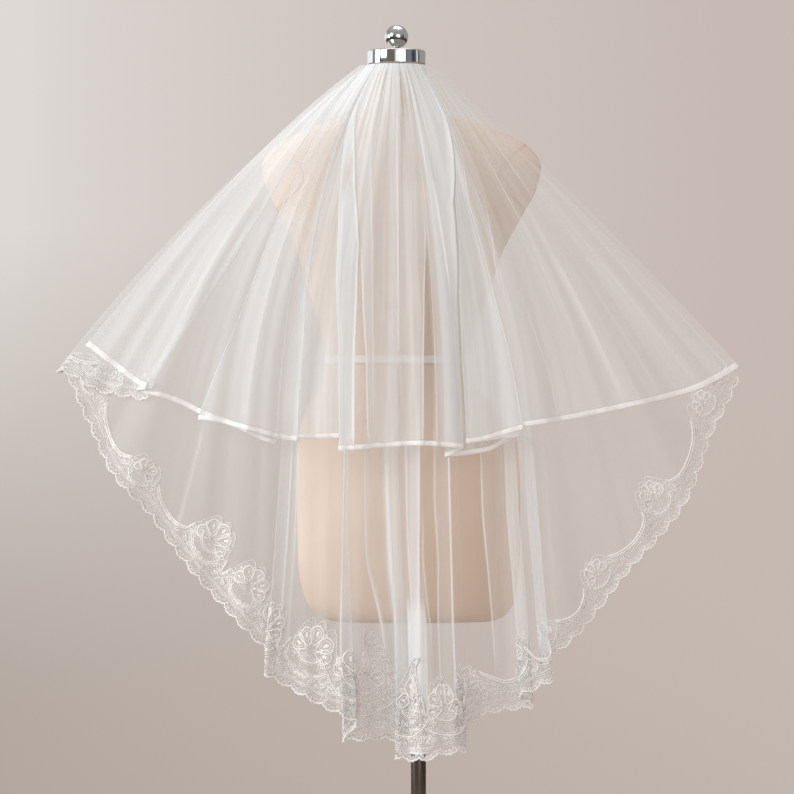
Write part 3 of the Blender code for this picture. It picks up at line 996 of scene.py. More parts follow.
UPPER_STATIONS = tuple(Station(*row) for row in (
    (-0.486, 1.101, 2), (-0.451, 1.072, 2), (-0.397, 1.038, 2), (-0.411, 1.035, 1), (-0.364, 1.021, 0),
    (-0.29, 0.989, 0), (-0.209, 0.958, 0), (-0.318, 0.993, 1), (-0.251, 0.976, 2), (-0.175, 0.962, 2),
    (-0.186, 0.964, 1), (-0.144, 0.966, 0), (-0.094, 0.967, 0), (-0.11, 0.949, 1), (-0.052, 0.953, 2),
    (-0.005, 0.956, 2), (0.065, 0.951, 2), (0.039, 0.939, 1), (0.094, 0.946, 0), (0.144, 0.968, 0),
    (0.069, 0.959, 1), (0.146, 0.979, 2), (0.262, 1.002, 2), (0.392, 1.032, 2), (0.449, 1.059, 2),
    (0.465, 1.07, 2),
))
LOWER_STATIONS = tuple(Station(*row) for row in (
    (-0.404, 1.026, 1), (-0.467, 1.038, 1), (-0.527, 1.068, 1), (-0.49, 1.003, 0), (-0.448, 0.915, 0),
    (-0.389, 0.855, 0), (-0.305, 0.748, 0), (-0.201, 0.647, 0), (-0.22, 0.631, 1), (-0.141, 0.585, 2),
    (-0.092, 0.559, 2), (-0.112, 0.532, 1), (-0.064, 0.533, 0), (-0.016, 0.53, 0), (-0.034, 0.506, 1),
    (0.001, 0.504, 2), (0.037, 0.514, 2), (0.065, 0.518, 2), (0.048, 0.535, 1), (0.1, 0.57, 0),
    (0.167, 0.581, 0), (0.147, 0.596, 1), (0.193, 0.623, 2), (0.176, 0.639, 1), (0.227, 0.684, 0),
    (0.302, 0.778, 0), (0.369, 0.855, 0), (0.421, 0.974, 0), (0.464, 1.057, 0),
))

FOLDS = {
    Tier.UPPER: [Fold(*row) for row in (
        # Left wing
        (-0.402, 1.02, 1.27, 0.0014, 0.003, 0.3, (
            (1.04, -0.4), (1.12, -0.379), (1.178, -0.363), (1.237, -0.35), (1.3, -0.335), (1.42, -0.345))),
        (-0.319, 0.98, 1.47, 0.0012, 0.002, 0.55, (
            (0.997, -0.32), (1.067, -0.306), (1.136, -0.292), (1.201, -0.286), (1.279, -0.288),
            (1.352, -0.297), (1.47, -0.31))),
        (-0.262, 0.98, 1.36, 0.0065, 0.003, 0.12, ((1.1, -0.25), (1.3, -0.25))),
        (-0.209, 0.96, 1.28, 0.002, 0.002, 0.16, ((1.1, -0.205), (1.33, -0.222))),
        (-0.175, 0.95, 1.46, 0.0013, 0.002, 0.7, (
            (0.97, -0.175), (1.092, -0.174), (1.201, -0.183), (1.33, -0.196), (1.427, -0.207))),
        (-0.11, 0.95, 1.43, 0.001, 0.002, 0.42, (
            (0.974, -0.116), (1.092, -0.121), (1.261, -0.146), (1.321, -0.161), (1.373, -0.177),
            (1.429, -0.204))),
        # Middle, round the two open slits
        (-0.094, 0.95, 1.47, 0.0014, 0.003, 0.75, (
            (0.964, -0.095), (1.076, -0.097), (1.163, -0.098), (1.245, -0.103), (1.291, -0.114),
            (1.373, -0.143), (1.463, -0.197))),
        (-0.074, 0.95, 1.25, 0.001, 0.002, 0.6, (
            (0.964, -0.074), (1.076, -0.078), (1.177, -0.09), (1.245, -0.099), (1.373, -0.135),
            (1.463, -0.187))),
        (-0.066, 1.0, 1.44, 0.0009, 0.002, 0.4, (
            (0.974, -0.066), (1.092, -0.068), (1.243, -0.077), (1.319, -0.088), (1.427, -0.114))),
        (-0.03, 1.08, 1.47, 0.0011, 0.002, 0.6, ((1.1, -0.03), (1.456, -0.031))),
        (0.005, 0.94, 1.28, 0.001, 0.002, 0.62, (
            (0.96, 0.005), (1.076, 0.007), (1.177, 0.013), (1.265, 0.023), (1.4, 0.024))),
        (0.025, 0.94, 1.4, 0.0009, 0.002, 0.4, (
            (0.96, 0.025), (1.178, 0.025), (1.265, 0.0265), (1.4, 0.03))),
        (0.04, 1.34, 1.5, 0.0012, 0.002, 0.7, ((1.2, 0.038), (1.361, 0.04), (1.497, 0.043))),
        (0.055, 1.18, 1.35, 0.001, 0.002, 0.55, (
            (1.1, 0.054), (1.195, 0.0555), (1.265, 0.053), (1.342, 0.05), (1.45, 0.054))),
        # Right wing
        (0.065, 0.94, 1.44, 0.0012, 0.002, 0.62, (
            (0.952, 0.063), (1.076, 0.061), (1.163, 0.066), (1.305, 0.09), (1.437, 0.16))),
        (0.069, 0.94, 1.09, 0.001, 0.001, 0.3, (
            (0.952, 0.068), (1.076, 0.0655), (1.163, 0.07), (1.305, 0.094), (1.437, 0.163))),
        (0.146, 0.96, 1.43, 0.0014, 0.003, 0.42, (
            (0.98, 0.149), (1.092, 0.14), (1.163, 0.132), (1.311, 0.124), (1.437, 0.174))),
        (0.166, 1.19, 1.32, 0.0014, 0.002, 0.34, (
            (1.1, 0.152), (1.163, 0.143), (1.216, 0.148), (1.29, 0.165), (1.437, 0.196))),
        (0.2, 1.0, 1.2, 0.0016, 0.002, 0.24, (
            (1.054, 0.2), (1.16, 0.185), (1.29, 0.197), (1.437, 0.222))),
        (0.247, 1.28, 1.44, 0.0014, 0.002, 0.48, (
            (1.2, 0.246), (1.291, 0.249), (1.361, 0.243), (1.431, 0.25))),
        (0.34, 1.3, 1.43, 0.0016, 0.002, 0.5, ((1.2, 0.338), (1.31, 0.336), (1.42, 0.344))),
        (0.3, 1.02, 1.24, 0.006, 0.003, 0.1, ((1.1, 0.298), (1.3, 0.296))),
    )],
    Tier.LOWER: [Fold(*row) for row in (
        # Left
        (-0.327, 0.8, 1.0, 0.0022, 0.002, 0.18, (
            (0.828, -0.327), (0.96, -0.316), (1.05, -0.312))),
        (-0.199, 0.62, 1.0, 0.0014, 0.003, 0.4, (
            (0.651, -0.202), (0.696, -0.199), (0.785, -0.193), (0.872, -0.188), (0.959, -0.184))),
        (-0.186, 0.62, 0.99, 0.0018, 0.002, 0.22, (
            (0.65, -0.19), (0.726, -0.186), (0.814, -0.18), (0.959, -0.175))),
        # Middle
        (-0.112, 0.52, 1.08, 0.001, 0.002, 0.55, (
            (0.575, -0.112), (0.698, -0.114), (0.785, -0.1115), (0.96, -0.108))),
        (-0.042, 0.56, 1.0, 0.0011, 0.002, 0.55, (
            (0.55, -0.042), (0.607, -0.044), (0.696, -0.056), (0.785, -0.078), (0.873, -0.08), (0.96, -0.08))),
        (-0.034, 0.5, 1.02, 0.0013, 0.002, 0.75, (
            (0.577, -0.0335), (0.696, -0.034), (0.785, -0.041), (0.872, -0.045), (0.959, -0.048))),
        (-0.006, 0.62, 1.0, 0.0009, 0.001, 0.45, (
            (0.6, -0.006), (0.711, -0.011), (0.785, -0.016), (0.872, -0.019), (0.959, -0.021))),
        (0.0, 0.55, 1.02, 0.0011, 0.002, 0.6, ((0.55, -0.001), (0.96, 0.001))),
        (0.02, 0.66, 0.86, 0.001, 0.001, 0.35, (
            (0.6, 0.02), (0.688, 0.017), (0.727, 0.011), (0.785, 0.0045), (0.96, 0.005))),
        (0.031, 0.6, 1.0, 0.001, 0.001, 0.35, (
            (0.597, 0.031), (0.706, 0.027), (0.785, 0.028), (0.873, 0.022), (0.96, 0.022))),
        # Right
        (0.047, 0.58, 1.02, 0.0012, 0.002, 0.6, (
            (0.626, 0.051), (0.697, 0.048), (0.785, 0.046), (0.96, 0.042))),
        (0.104, 0.63, 1.0, 0.0011, 0.002, 0.5, (
            (0.639, 0.103), (0.705, 0.1005), (0.765, 0.097), (0.8535, 0.0905), (0.941, 0.0895))),
        (0.172, 0.66, 0.98, 0.005, 0.003, 0.1, ((0.7, 0.172), (0.96, 0.176))),
    )],
}
PANELS = {
    Tier.UPPER: [Panel(*row) for row in (
        (-0.6, -0.402, 1.0, 1.3, 0.01, 0.16),
        (-0.398, -0.322, 0.9, 1.2, 0.008, -0.3),
        (-0.316, -0.209, 0.9, 1.3, 0.012, -0.28),
        (-0.16, -0.113, 0.9, 1.34, 0.01, 0.06),
        (-0.16, -0.113, 0.9, 1.13, 0.01, 0.38),
        (-0.109, -0.095, 0.9, 1.36, 0.004, 0.25),
        (-0.0935, -0.0745, 0.9, 1.24, 0.0012, -0.86),
        (-0.074, -0.067, 0.9, 1.42, 0.002, 0.35),
        (-0.107, -0.097, 1.315, 1.4, 0.002, -0.55),
        (-0.048, -0.0315, 1.14, 1.475, 0.003, -0.3),
        (-0.395, -0.198, 1.29, 1.46, 0.012, -0.6),
        (-0.03, 0.036, 1.33, 1.5, 0.006, -0.3),
        (0.0055, 0.0245, 0.9, 1.262, 0.001, -0.97),
        (0.05, 0.064, 0.9, 1.34, 0.004, 0.3),
        (0.0657, 0.0688, 0.9, 1.075, 0.0006, -0.95),
        (0.175, 0.42, 1.22, 1.46, 0.015, -0.4),
        (0.15, 0.47, 0.9, 1.3, 0.02, 0.1),
    )],
    Tier.LOWER: [Panel(*row) for row in (
        (-0.199, -0.186, 0.55, 1.0, 0.0015, 0.22),
        (-0.18, -0.116, 0.55, 0.98, 0.004, -0.25),
        (-0.033, 0.0005, 0.48, 0.99, 0.0012, 0.15),
        (-0.108, -0.045, 0.48, 0.7, 0.004, 0.1),
        (-0.006, 0.0005, 0.48, 0.99, 0.0012, 0.4),
        (-0.014, 0.013, 0.46, 0.745, 0.001, 0.93),
        (0.0205, 0.0305, 0.595, 1.262, 0.001, -0.96),
        (0.001, 0.02, 0.775, 0.99, 0.001, -0.4),
        (0.049, 0.103, 0.6, 0.99, 0.0014, -0.9),
        (0.106, 0.165, 0.6, 0.99, 0.004, 0.06),
    )],
}


@dataclass
class HemPath:
    """The columns of one sheet from left to right, with their hem heights and layers.

    The last values say how many times thicker the net looks from behind where the sheet turns.
    """

    columns: Array
    heights: Array
    layers: Array
    along: Array
    steep: Array

    @classmethod
    def through(cls, drape: Drape, stations: Sequence[Station], tier: Tier, spacing: float,
                turn_steps: int) -> "HemPath":
        """Walks the hem: straight runs, and a round turn where the layer changes.

        Args:
            drape: The drape.
            stations: The hem's stations.
            tier: The tier.
            spacing: The widest step.
            turn_steps: How many steps a turn has.

        Returns:
            The path.
        """
        lines = [drape.column_at(s.across, s.height) for s in stations]
        last = len(stations) - 1
        turns = [0 < i < last and stations[i + 1].layer != stations[i].layer for i in range(last + 1)]
        radius = drape.step_hem / 2.0
        fine = np.array([0.0004, 0.0009, 0.0017, 0.0028, 0.0048])
        fine = np.concatenate((-fine[::-1], [0.0], fine))
        marks = [fold.column + fine for fold in FOLDS[tier]]
        marks += [edge + fine[4:7] * (p.soft / 0.0004) for p in PANELS[tier] for edge in (p.left, p.right)]
        extra = np.concatenate(marks)
        path, knots, travelled, steep = [], [0.0], 0.0, []
        for i in range(1, last + 1):
            direction = math.copysign(1.0, lines[i] - lines[i - 1])
            start = lines[i - 1] + direction * radius * turns[i - 1]
            end = lines[i] - direction * radius * turns[i]
            run = abs(end - start)
            ways = np.linspace(0.0, run, max(1, math.ceil(run / spacing)) + 1)
            inside = (extra - start) * direction
            ways = np.unique(np.concatenate([ways, inside[(inside > 0.0002) & (inside < run - 0.0002)]]))
            ways = ways[np.concatenate(([True], np.diff(ways) > 0.00015))]
            for way in ways if turns[i] or i == last else ways[:-1]:
                path.append((start + direction * way, travelled + way, stations[i].layer))
                steep.append(1.0)
            travelled += run
            knots.append(travelled)
            if turns[i]:
                layer, after = stations[i].layer, stations[i + 1].layer
                for k in range(1, turn_steps):
                    lean = math.pi * k / turn_steps
                    path.append((end + direction * radius * math.sin(lean), travelled + radius * lean,
                                 layer + (after - layer) * (1.0 - math.cos(lean)) / 2.0))
                    steep.append(1.0 / max(abs(math.cos(lean)), 0.15))
                travelled += math.pi * radius
                knots[-1] += math.pi * radius / 2.0
        columns, along, layers = (np.array(values) for values in zip(*path))
        heights = smooth_curve(knots, [s.height for s in stations], along)
        return cls(columns, heights, layers, along, np.array(steep))


@dataclass
class TierNet:
    """The net of one tier, from its hem and the heights of its points by column and row.

    Covers are those of the upper and of the lower tier.
    """

    drape: Drape
    tier: Tier
    path: HemPath
    heights: Array
    wing_cover: tuple[float, float] = (0.215, 0.175)
    middle_cover: tuple[float, float] = (0.43, 0.21)
    gather_power: float = 0.53
    guide_edge: float = 0.506
    edge_cover: float = 0.45
    edge_width: float = 0.0016
    fold_gain: float = 1.25
    ridge_width: float = 0.0045
    edge_facing: Triple = (-0.42, -0.90, 0.12)
    round_depth: float = 0.17
    step: float = 0.002

    def __post_init__(self) -> None:
        """Finds the points of the net."""
        self.columns = self.guided()
        lift, self.folds = self.fold_shape()
        out = self.drape.offset(self.path.layers[:, None], self.heights, self.tier) + lift
        self.grid = self.drape.point(self.columns, self.heights, out)
        self.drop = self.drape.top - self.heights

    def guided(self) -> Array:
        """Bends the columns so that they run along the folds.

        Returns:
            The column of the drape at each point.
        """
        folds = sorted(FOLDS[self.tier], key=lambda fold: fold.column)
        hems = np.array([-self.guide_edge] + [fold.column for fold in folds] + [self.guide_edge])
        paths = [np.full_like(self.heights, -self.guide_edge)]
        paths += [np.interp(self.heights, *zip(*fold.path)) for fold in folds]
        paths.append(np.full_like(self.heights, self.guide_edge))
        index = np.clip(np.searchsorted(hems, self.path.columns, side="right") - 1, 0, len(folds))
        share = ((self.path.columns - hems[index]) / (hems[index + 1] - hems[index]))[:, None]
        stack, every = np.stack(paths), np.arange(len(index))
        return stack[index, every] * (1.0 - share) + stack[index + 1, every] * share

    def fold_shape(self) -> tuple[Array, Array]:
        """Adds up the folds.

        Returns:
            How far each point moves out, and how much more the net covers.
        """
        lift, cover = np.zeros_like(self.heights), np.zeros_like(self.heights)
        for fold in FOLDS[self.tier]:
            away = self.path.columns[:, None] - fold.column
            side = away / fold.width
            fade = ease(self.heights, fold.low - 0.02, fold.low + 0.03)
            fade = fade * (1.0 - ease(self.heights, fold.high - 0.04, fold.high))
            lift += fold.lift * np.exp(-(away / self.ridge_width) ** 2) * fade
            cover = 1.0 - (1.0 - cover) * (1.0 - fold.cover * np.exp(-side * side) * fade)
        return lift, cover

    def values(self) -> dict[str, Array]:
        """Finds how much the net covers, gathered cloth more and single cloth less, and where its streaks run.

        Returns:
            The values of each point by name.
        """
        step, number, columns = 2.0 * self.step, 0 if self.tier is Tier.UPPER else 1, self.path.columns
        here, there = (self.drape.point(self.columns + move, self.heights, 0.0) for move in (-step, step))
        width = np.linalg.norm(there - here, axis=2) / (2.0 * step)
        middle = 1.0 - ease(np.abs(columns - self.drape.neck_x)[:, None], 0.09, 0.22)
        plain = self.wing_cover[number] + (self.middle_cover[number] - self.wing_cover[number]) * middle
        turned = 1.0 + (self.path.steep[:, None] - 1.0) * ease(self.drop, 0.02, 0.14)
        cover = 1.0 - (1.0 - plain) ** ((1.0 / np.clip(width, 0.08, 1.0)) ** self.gather_power * turned)
        for panel in PANELS[self.tier]:
            inside = (ease(columns, panel.left - panel.soft, panel.left + panel.soft)
                      * (1.0 - ease(columns, panel.right - panel.soft, panel.right + panel.soft)))
            fade = ease(self.heights, panel.low - 0.015, panel.low + 0.015)
            share = inside[:, None] * fade * (1.0 - ease(self.heights, panel.high - 0.05, panel.high))
            more = cover + (1.0 - cover) * panel.cover if panel.cover > 0.0 else cover * (1.0 + panel.cover)
            cover = cover + (more - cover) * share
        cover = cover + (1.0 - cover) * np.clip(self.folds * self.fold_gain, 0.0, 0.96)
        along = self.path.along
        edge = np.exp(-along / self.edge_width) + np.exp(-(along[-1] - along) / self.edge_width)
        cover = cover + (1.0 - cover) * self.edge_cover * edge[:, None]
        return {"cover": np.clip(cover, 0.0, 0.985), "gather": 1.0 - ease(self.drop, 0.03, 0.16),
                "strand": self.columns + 0.37 * self.path.layers[:, None], "fall": self.drop}

    def soften(self, sheet: Thing) -> None:
        """Shades the net mostly as the drape hangs, because it lets light through sharp folds."""
        step, columns, heights = self.step, self.columns, self.heights
        along = self.drape.point(columns + step, heights, 0.0) - self.drape.point(columns - step, heights, 0.0)
        down = self.drape.point(columns, heights - step, 0.0) - self.drape.point(columns, heights + step, 0.0)
        broad, own = unit(np.cross(down, along)), outward_normals(self.grid)
        side = np.where((broad * own).sum(axis=2, keepdims=True) < 0.0, -1.0, 1.0)
        share = np.where(self.path.steep[:, None, None] > 1.01, 0.0, 0.15)
        across, away = self.grid[..., 0] - self.drape.neck_x, self.grid[..., 1]
        round_neck = unit(np.stack([across, away, 0.4 * np.hypot(across, away)], axis=2))
        near = 0.85 * (1.0 - ease(self.drop, 0.03, self.round_depth))[..., None]
        opposed = (broad * round_neck).sum(axis=2, keepdims=True) < 0.0
        broad = broad * (1.0 - near) + round_neck * np.where(opposed, -near, near)
        turned = (np.clip(self.path.steep - 1.0, 0.0, 1.0) * 0.9)[:, None, None] + np.zeros_like(near)
        facing = np.where(broad[..., 1:2] > 0.0, -1.0, 1.0)
        white = np.maximum(turned, 0.9 * np.clip(self.folds * 1.6, 0.0, 1.0)[..., None])
        mixed = broad * facing * (1.0 - white) + np.array(self.edge_facing) * white
        edge_side = np.where(own[..., 1:2] > 0.0, -1.0, 1.0)
        mixed *= np.where(turned > 0.0, edge_side, side * facing) * (1.0 - share)
        mixed = unit(mixed + own * share)
        sheet.data.normals_split_custom_set_from_vertices(mixed.reshape(-1, 3).tolist())


# The veil


@dataclass
class Veil:
    """The veil: two tiers of tulle, the band, the satin ribbon and the lace."""

    finishes: Finishes
    repeats: Repeats
    drape: Drape = field(default_factory=Drape)
    spacing: float = 0.0036
    turn_steps: int = 14
    collar: float = 0.0008
    neck_rows: int = 26
    neck_depth: float = 0.19
    hang_rows: int = 36
    ribbon_width: float = 0.0078
    ribbon_gap: float = 0.0006
    ribbon_wall: float = 0.0011
    ribbon_crown: float = 0.0005
    stitch_pitch: float = 0.0042

    def rows(self, hem: Array) -> Array:
        """Heights of each column's points, closer together near the neck.

        Args:
            hem: Where each column ends.

        Returns:
            The heights by column and row.
        """
        near = self.drape.top - self.neck_depth * (np.arange(self.neck_rows + 1) / self.neck_rows) ** 1.5
        near = np.concatenate(([self.drape.top + self.collar], near))
        share = np.arange(1, self.hang_rows + 1) / self.hang_rows
        return np.concatenate([np.broadcast_to(near, (len(hem), len(near))),
                               near[-1] + (hem[:, None] - near[-1]) * share[None, :]], axis=1)

    def build_tier(self, tier: Tier, path: HemPath, ends: Array, node: str) -> Thing:
        """Builds the tulle of one tier.

        Args:
            tier: The tier.
            path: Its hem.
            ends: Where each column ends.
            node: The solid it stands for.

        Returns:
            The sheet.
        """
        net = TierNet(self.drape, tier, path, self.rows(ends))
        uv = paired(path.along[:, None], net.drop)
        sheet = grid_object(f"{tier.value}_tulle", net.grid, uv, net.values())
        net.soften(sheet)
        return place_piece(sheet, Slot.TULLE, node, finish=self.finishes.tulle)

    def build_ribbon(self, path: HemPath) -> list[Thing]:
        """Builds the satin ribbon of the upper hem, with two rows of stitches.

        Args:
            path: The upper hem.

        Returns:
            The ribbon and its stitches.
        """
        half = self.ribbon_width / 2.0
        shares = np.linspace(0.0, 1.0, 7)
        heights = path.heights[:, None] + (half - self.ribbon_gap) * (1.0 - shares) - half * shares
        grid = TierNet(self.drape, Tier.UPPER, path, heights).grid
        normals = outward_normals(grid)
        crown = 0.0004 + self.ribbon_crown * (1.0 - (2.0 * shares - 1.0) ** 4)
        pucker = 0.00025 * np.sin(2.0 * math.pi * path.along / 0.013 + 1.7 * np.sin(path.along / 0.09))
        lifted = grid + normals * (crown[None, :, None] + pucker[:, None, None])
        uv = paired(path.along[:, None], shares[None, :] * self.ribbon_width)
        ribbon = grid_object("satin_ribbon", lifted, uv)
        add_wall(ribbon, self.ribbon_wall, -1.0)
        place_piece(ribbon, Slot.SATIN, "ribbon_binding", finish=self.finishes.satin)
        stitches = self.build_stitches(lifted, normals)
        place_piece(stitches, Slot.SATIN)
        return [ribbon, stitches]

    def build_stitches(self, grid: Array, normals: Array) -> Thing:
        """Sews a row of small stitches along each edge of the ribbon.

        Args:
            grid: The ribbon's outer points.
            normals: The normals there.

        Returns:
            The stitches.
        """
        places, turns = [], []
        for row, inwards in ((0, 1), (grid.shape[1] - 1, -2)):
            line = grid[:, row] * 0.75 + grid[:, row + (1 if inwards > 0 else -1)] * 0.25
            out = normals[:, row]
            steps = np.linalg.norm(np.diff(line, axis=0), axis=1)
            travelled = np.concatenate(([0.0], np.cumsum(steps)))
            wanted = np.arange(self.stitch_pitch, travelled[-1], self.stitch_pitch)
            spots, leans = along_line(wanted, travelled, line), along_line(wanted, travelled, out)
            ahead = along_line(wanted + 0.001, travelled, line)
            for spot, lean, after in zip(spots, leans, ahead):
                along, lean = Vector(after - spot), Vector(lean).normalized()
                if along.length < 1e-6:
                    continue
                along.normalize()
                up = lean.cross(along).normalized()
                places.append(Vector(spot) + lean * 0.0001)
                turns.append(euler_of(along, up, along.cross(up)))
        sizes = np.tile((0.0013, 0.00035, 0.00035), (len(places), 1))
        shape = pad_shape("stitch_shape", 6, 2)
        stitches = scattered("ribbon_stitches", np.array(places), np.array(turns), sizes, shape, self.repeats,
                             self.finishes.stitch)
        bpy.data.objects.remove(shape, do_unlink=True)
        return stitches

    def build_band(self) -> Thing:
        """Builds the gathered band that the tiers are sewn to at the back of the neck."""
        spread, high, thick = math.radians(91.0), 0.012 + self.collar, 0.0024
        radius = self.drape.neck_radius - 0.0005 - 0.0003 - thick / 2.0
        angles = np.linspace(-spread, spread, 241)
        shares = np.linspace(0.0, 1.0, 7)
        fine = 0.00035 * np.sin(angles * 96.0 + 2.2 * np.sin(angles * 17.0))
        swell = 0.0005 * np.sin(math.pi * shares) ** 0.7
        reach = radius + fine[:, None] + swell[None, :]
        grid = paired(self.drape.neck_x + reach * np.sin(angles)[:, None], -reach * np.cos(angles)[:, None],
                      self.drape.top + self.collar - 0.0002 - (high - 0.0004) * shares[None, :])
        band = grid_object("gathered_band", grid, paired(radius * angles[:, None], high * shares[None, :]))
        add_wall(band, 0.0015)
        return place_piece(band, Slot.SATIN, "gather_band", finish=self.finishes.band)

    def build(self) -> None:
        """Builds the whole veil."""
        upper = HemPath.through(self.drape, UPPER_STATIONS, Tier.UPPER, self.spacing, self.turn_steps)
        lower = HemPath.through(self.drape, LOWER_STATIONS, Tier.LOWER, self.spacing, self.turn_steps)
        self.build_band()
        short = self.build_tier(Tier.UPPER, upper, upper.heights + self.ribbon_width / 2.0, "upper_tier")
        ribbon = self.build_ribbon(upper)
        long = self.build_tier(Tier.LOWER, lower, lower.heights, "lower_tier")
        lace = LaceEdging(self, lower).build()


# The lace


@dataclass(frozen=True)
class Cluster:
    """A cluster of flowers in the lace: its place along the hem, its depth and its half width."""

    place: float
    depth: float
    half: float


CLUSTERS = tuple(Cluster(*row) for row in (
    (0.058, 0.028, 0.040), (0.196, 0.047, 0.042), (0.362, 0.049, 0.034), (0.508, 0.078, 0.042),
    (0.598, 0.074, 0.042), (0.700, 0.080, 0.034), (0.790, 0.098, 0.046), (0.868, 0.090, 0.028),
    (0.968, 0.148, 0.048), (1.090, 0.132, 0.046), (1.175, 0.098, 0.034), (1.262, 0.082, 0.036),
    (1.395, 0.088, 0.046), (1.508, 0.044, 0.030), (1.637, 0.049, 0.032), (1.780, 0.061, 0.037),
    (1.948, 0.042, 0.034)))


@dataclass
class Motifs:
    """Collects the cords and the stitched pads of the embroidery, in band coordinates.

    The first coordinate runs along the hem and the second one up from it, in metres.
    """

    thick: list[Array] = field(default_factory=list)
    fine: list[Array] = field(default_factory=list)
    scrolls: list[Array] = field(default_factory=list)
    pads: list[tuple[float, ...]] = field(default_factory=list)
    taken: list[Triple] = field(default_factory=list)

    def pad(self, centre: Array, angle: float, length: float, width: float) -> None:
        """Stitches a pad: its centre, its direction and its half sizes."""
        self.pads.append((centre[0], centre[1], angle, length / 2.0, width / 2.0))

    def arc(self, centre: Array, radius: float, start: float, end: float, is_thick: bool = False) -> None:
        """Lays a cord along an arc about a centre, the thick cord where is_thick is True."""
        angles = np.linspace(start, end, max(5, math.ceil(abs(end - start) * radius / 0.0018)) + 1)
        (self.thick if is_thick else self.fine).append(centre + radius * directions(angles))

    def spiral(self, centre: Array, radius: float, turn: float, way: float) -> None:
        """Lays a small scroll.

        Args:
            centre: Its centre.
            radius: Its radius.
            turn: Where it starts.
            way: 1 or -1 for its direction.
        """
        angles = np.linspace(0.0, 3.3 * math.pi, 16)
        reach = radius * (0.20 + 0.80 * angles / angles[-1])
        self.scrolls.append(centre + reach[:, None] * directions(turn + way * angles))

    def petal(self, base: Array, angle: float, length: float, width: float, fullness: float = 1.5,
              is_thick: bool = False) -> None:
        """Works a petal or leaf: two outlines and a stitched middle.

        Args:
            base: Where it starts.
            angle: Its direction.
            length: Its length.
            width: Its width.
            fullness: Under 1 for a pointed leaf.
            is_thick: True for the thick cord.
        """
        ahead = np.array((math.cos(angle), math.sin(angle)))
        aside = np.array((-ahead[1], ahead[0]))
        t = np.linspace(0.0, 1.0, 9)
        bulge = np.sin(math.pi * t**fullness) ** 0.75 * width / 2.0
        for size, kept in ((1.0, self.thick if is_thick else self.fine), (0.62, self.fine)):
            if length * size < 0.006:
                continue
            start = base + ahead * length * 0.62 * (1.0 - size)
            left, right = (start + size * (ahead * (t * length)[:, None] + aside * (sign * bulge)[:, None])
                           for sign in (1.0, -1.0))
            kept.append(np.concatenate([left, right[::-1][1:-1], left[:1]]))
        self.pad(base + ahead * length * 0.62, angle, length * 0.30, width * 0.20)

    def flower(self, centre: Array, radius: float, petals: int, turn: float) -> None:
        """Works a flower head of round petals.

        Args:
            centre: Its centre.
            radius: Its radius.
            petals: How many.
            turn: How far it is turned.
        """
        for k in range(petals):
            angle = turn + 2.0 * math.pi * k / petals
            ahead = np.array((math.cos(angle), math.sin(angle)))
            self.petal(centre + ahead * radius * 0.26, angle, radius * 0.76, radius * 4.4 / petals)
        self.arc(centre, radius * 0.2, 0.0, 2.0 * math.pi)
        self.taken.append((centre[0], centre[1], radius))

    def garland(self, centre: Array, radius: float, gap: float, half: float) -> None:
        """Lays three cords along a hanging arc, gap apart, to half its angle each way."""
        for k in range(3):
            self.arc(centre, radius + gap * k, 1.5 * math.pi - half, 1.5 * math.pi + half, k == 1)


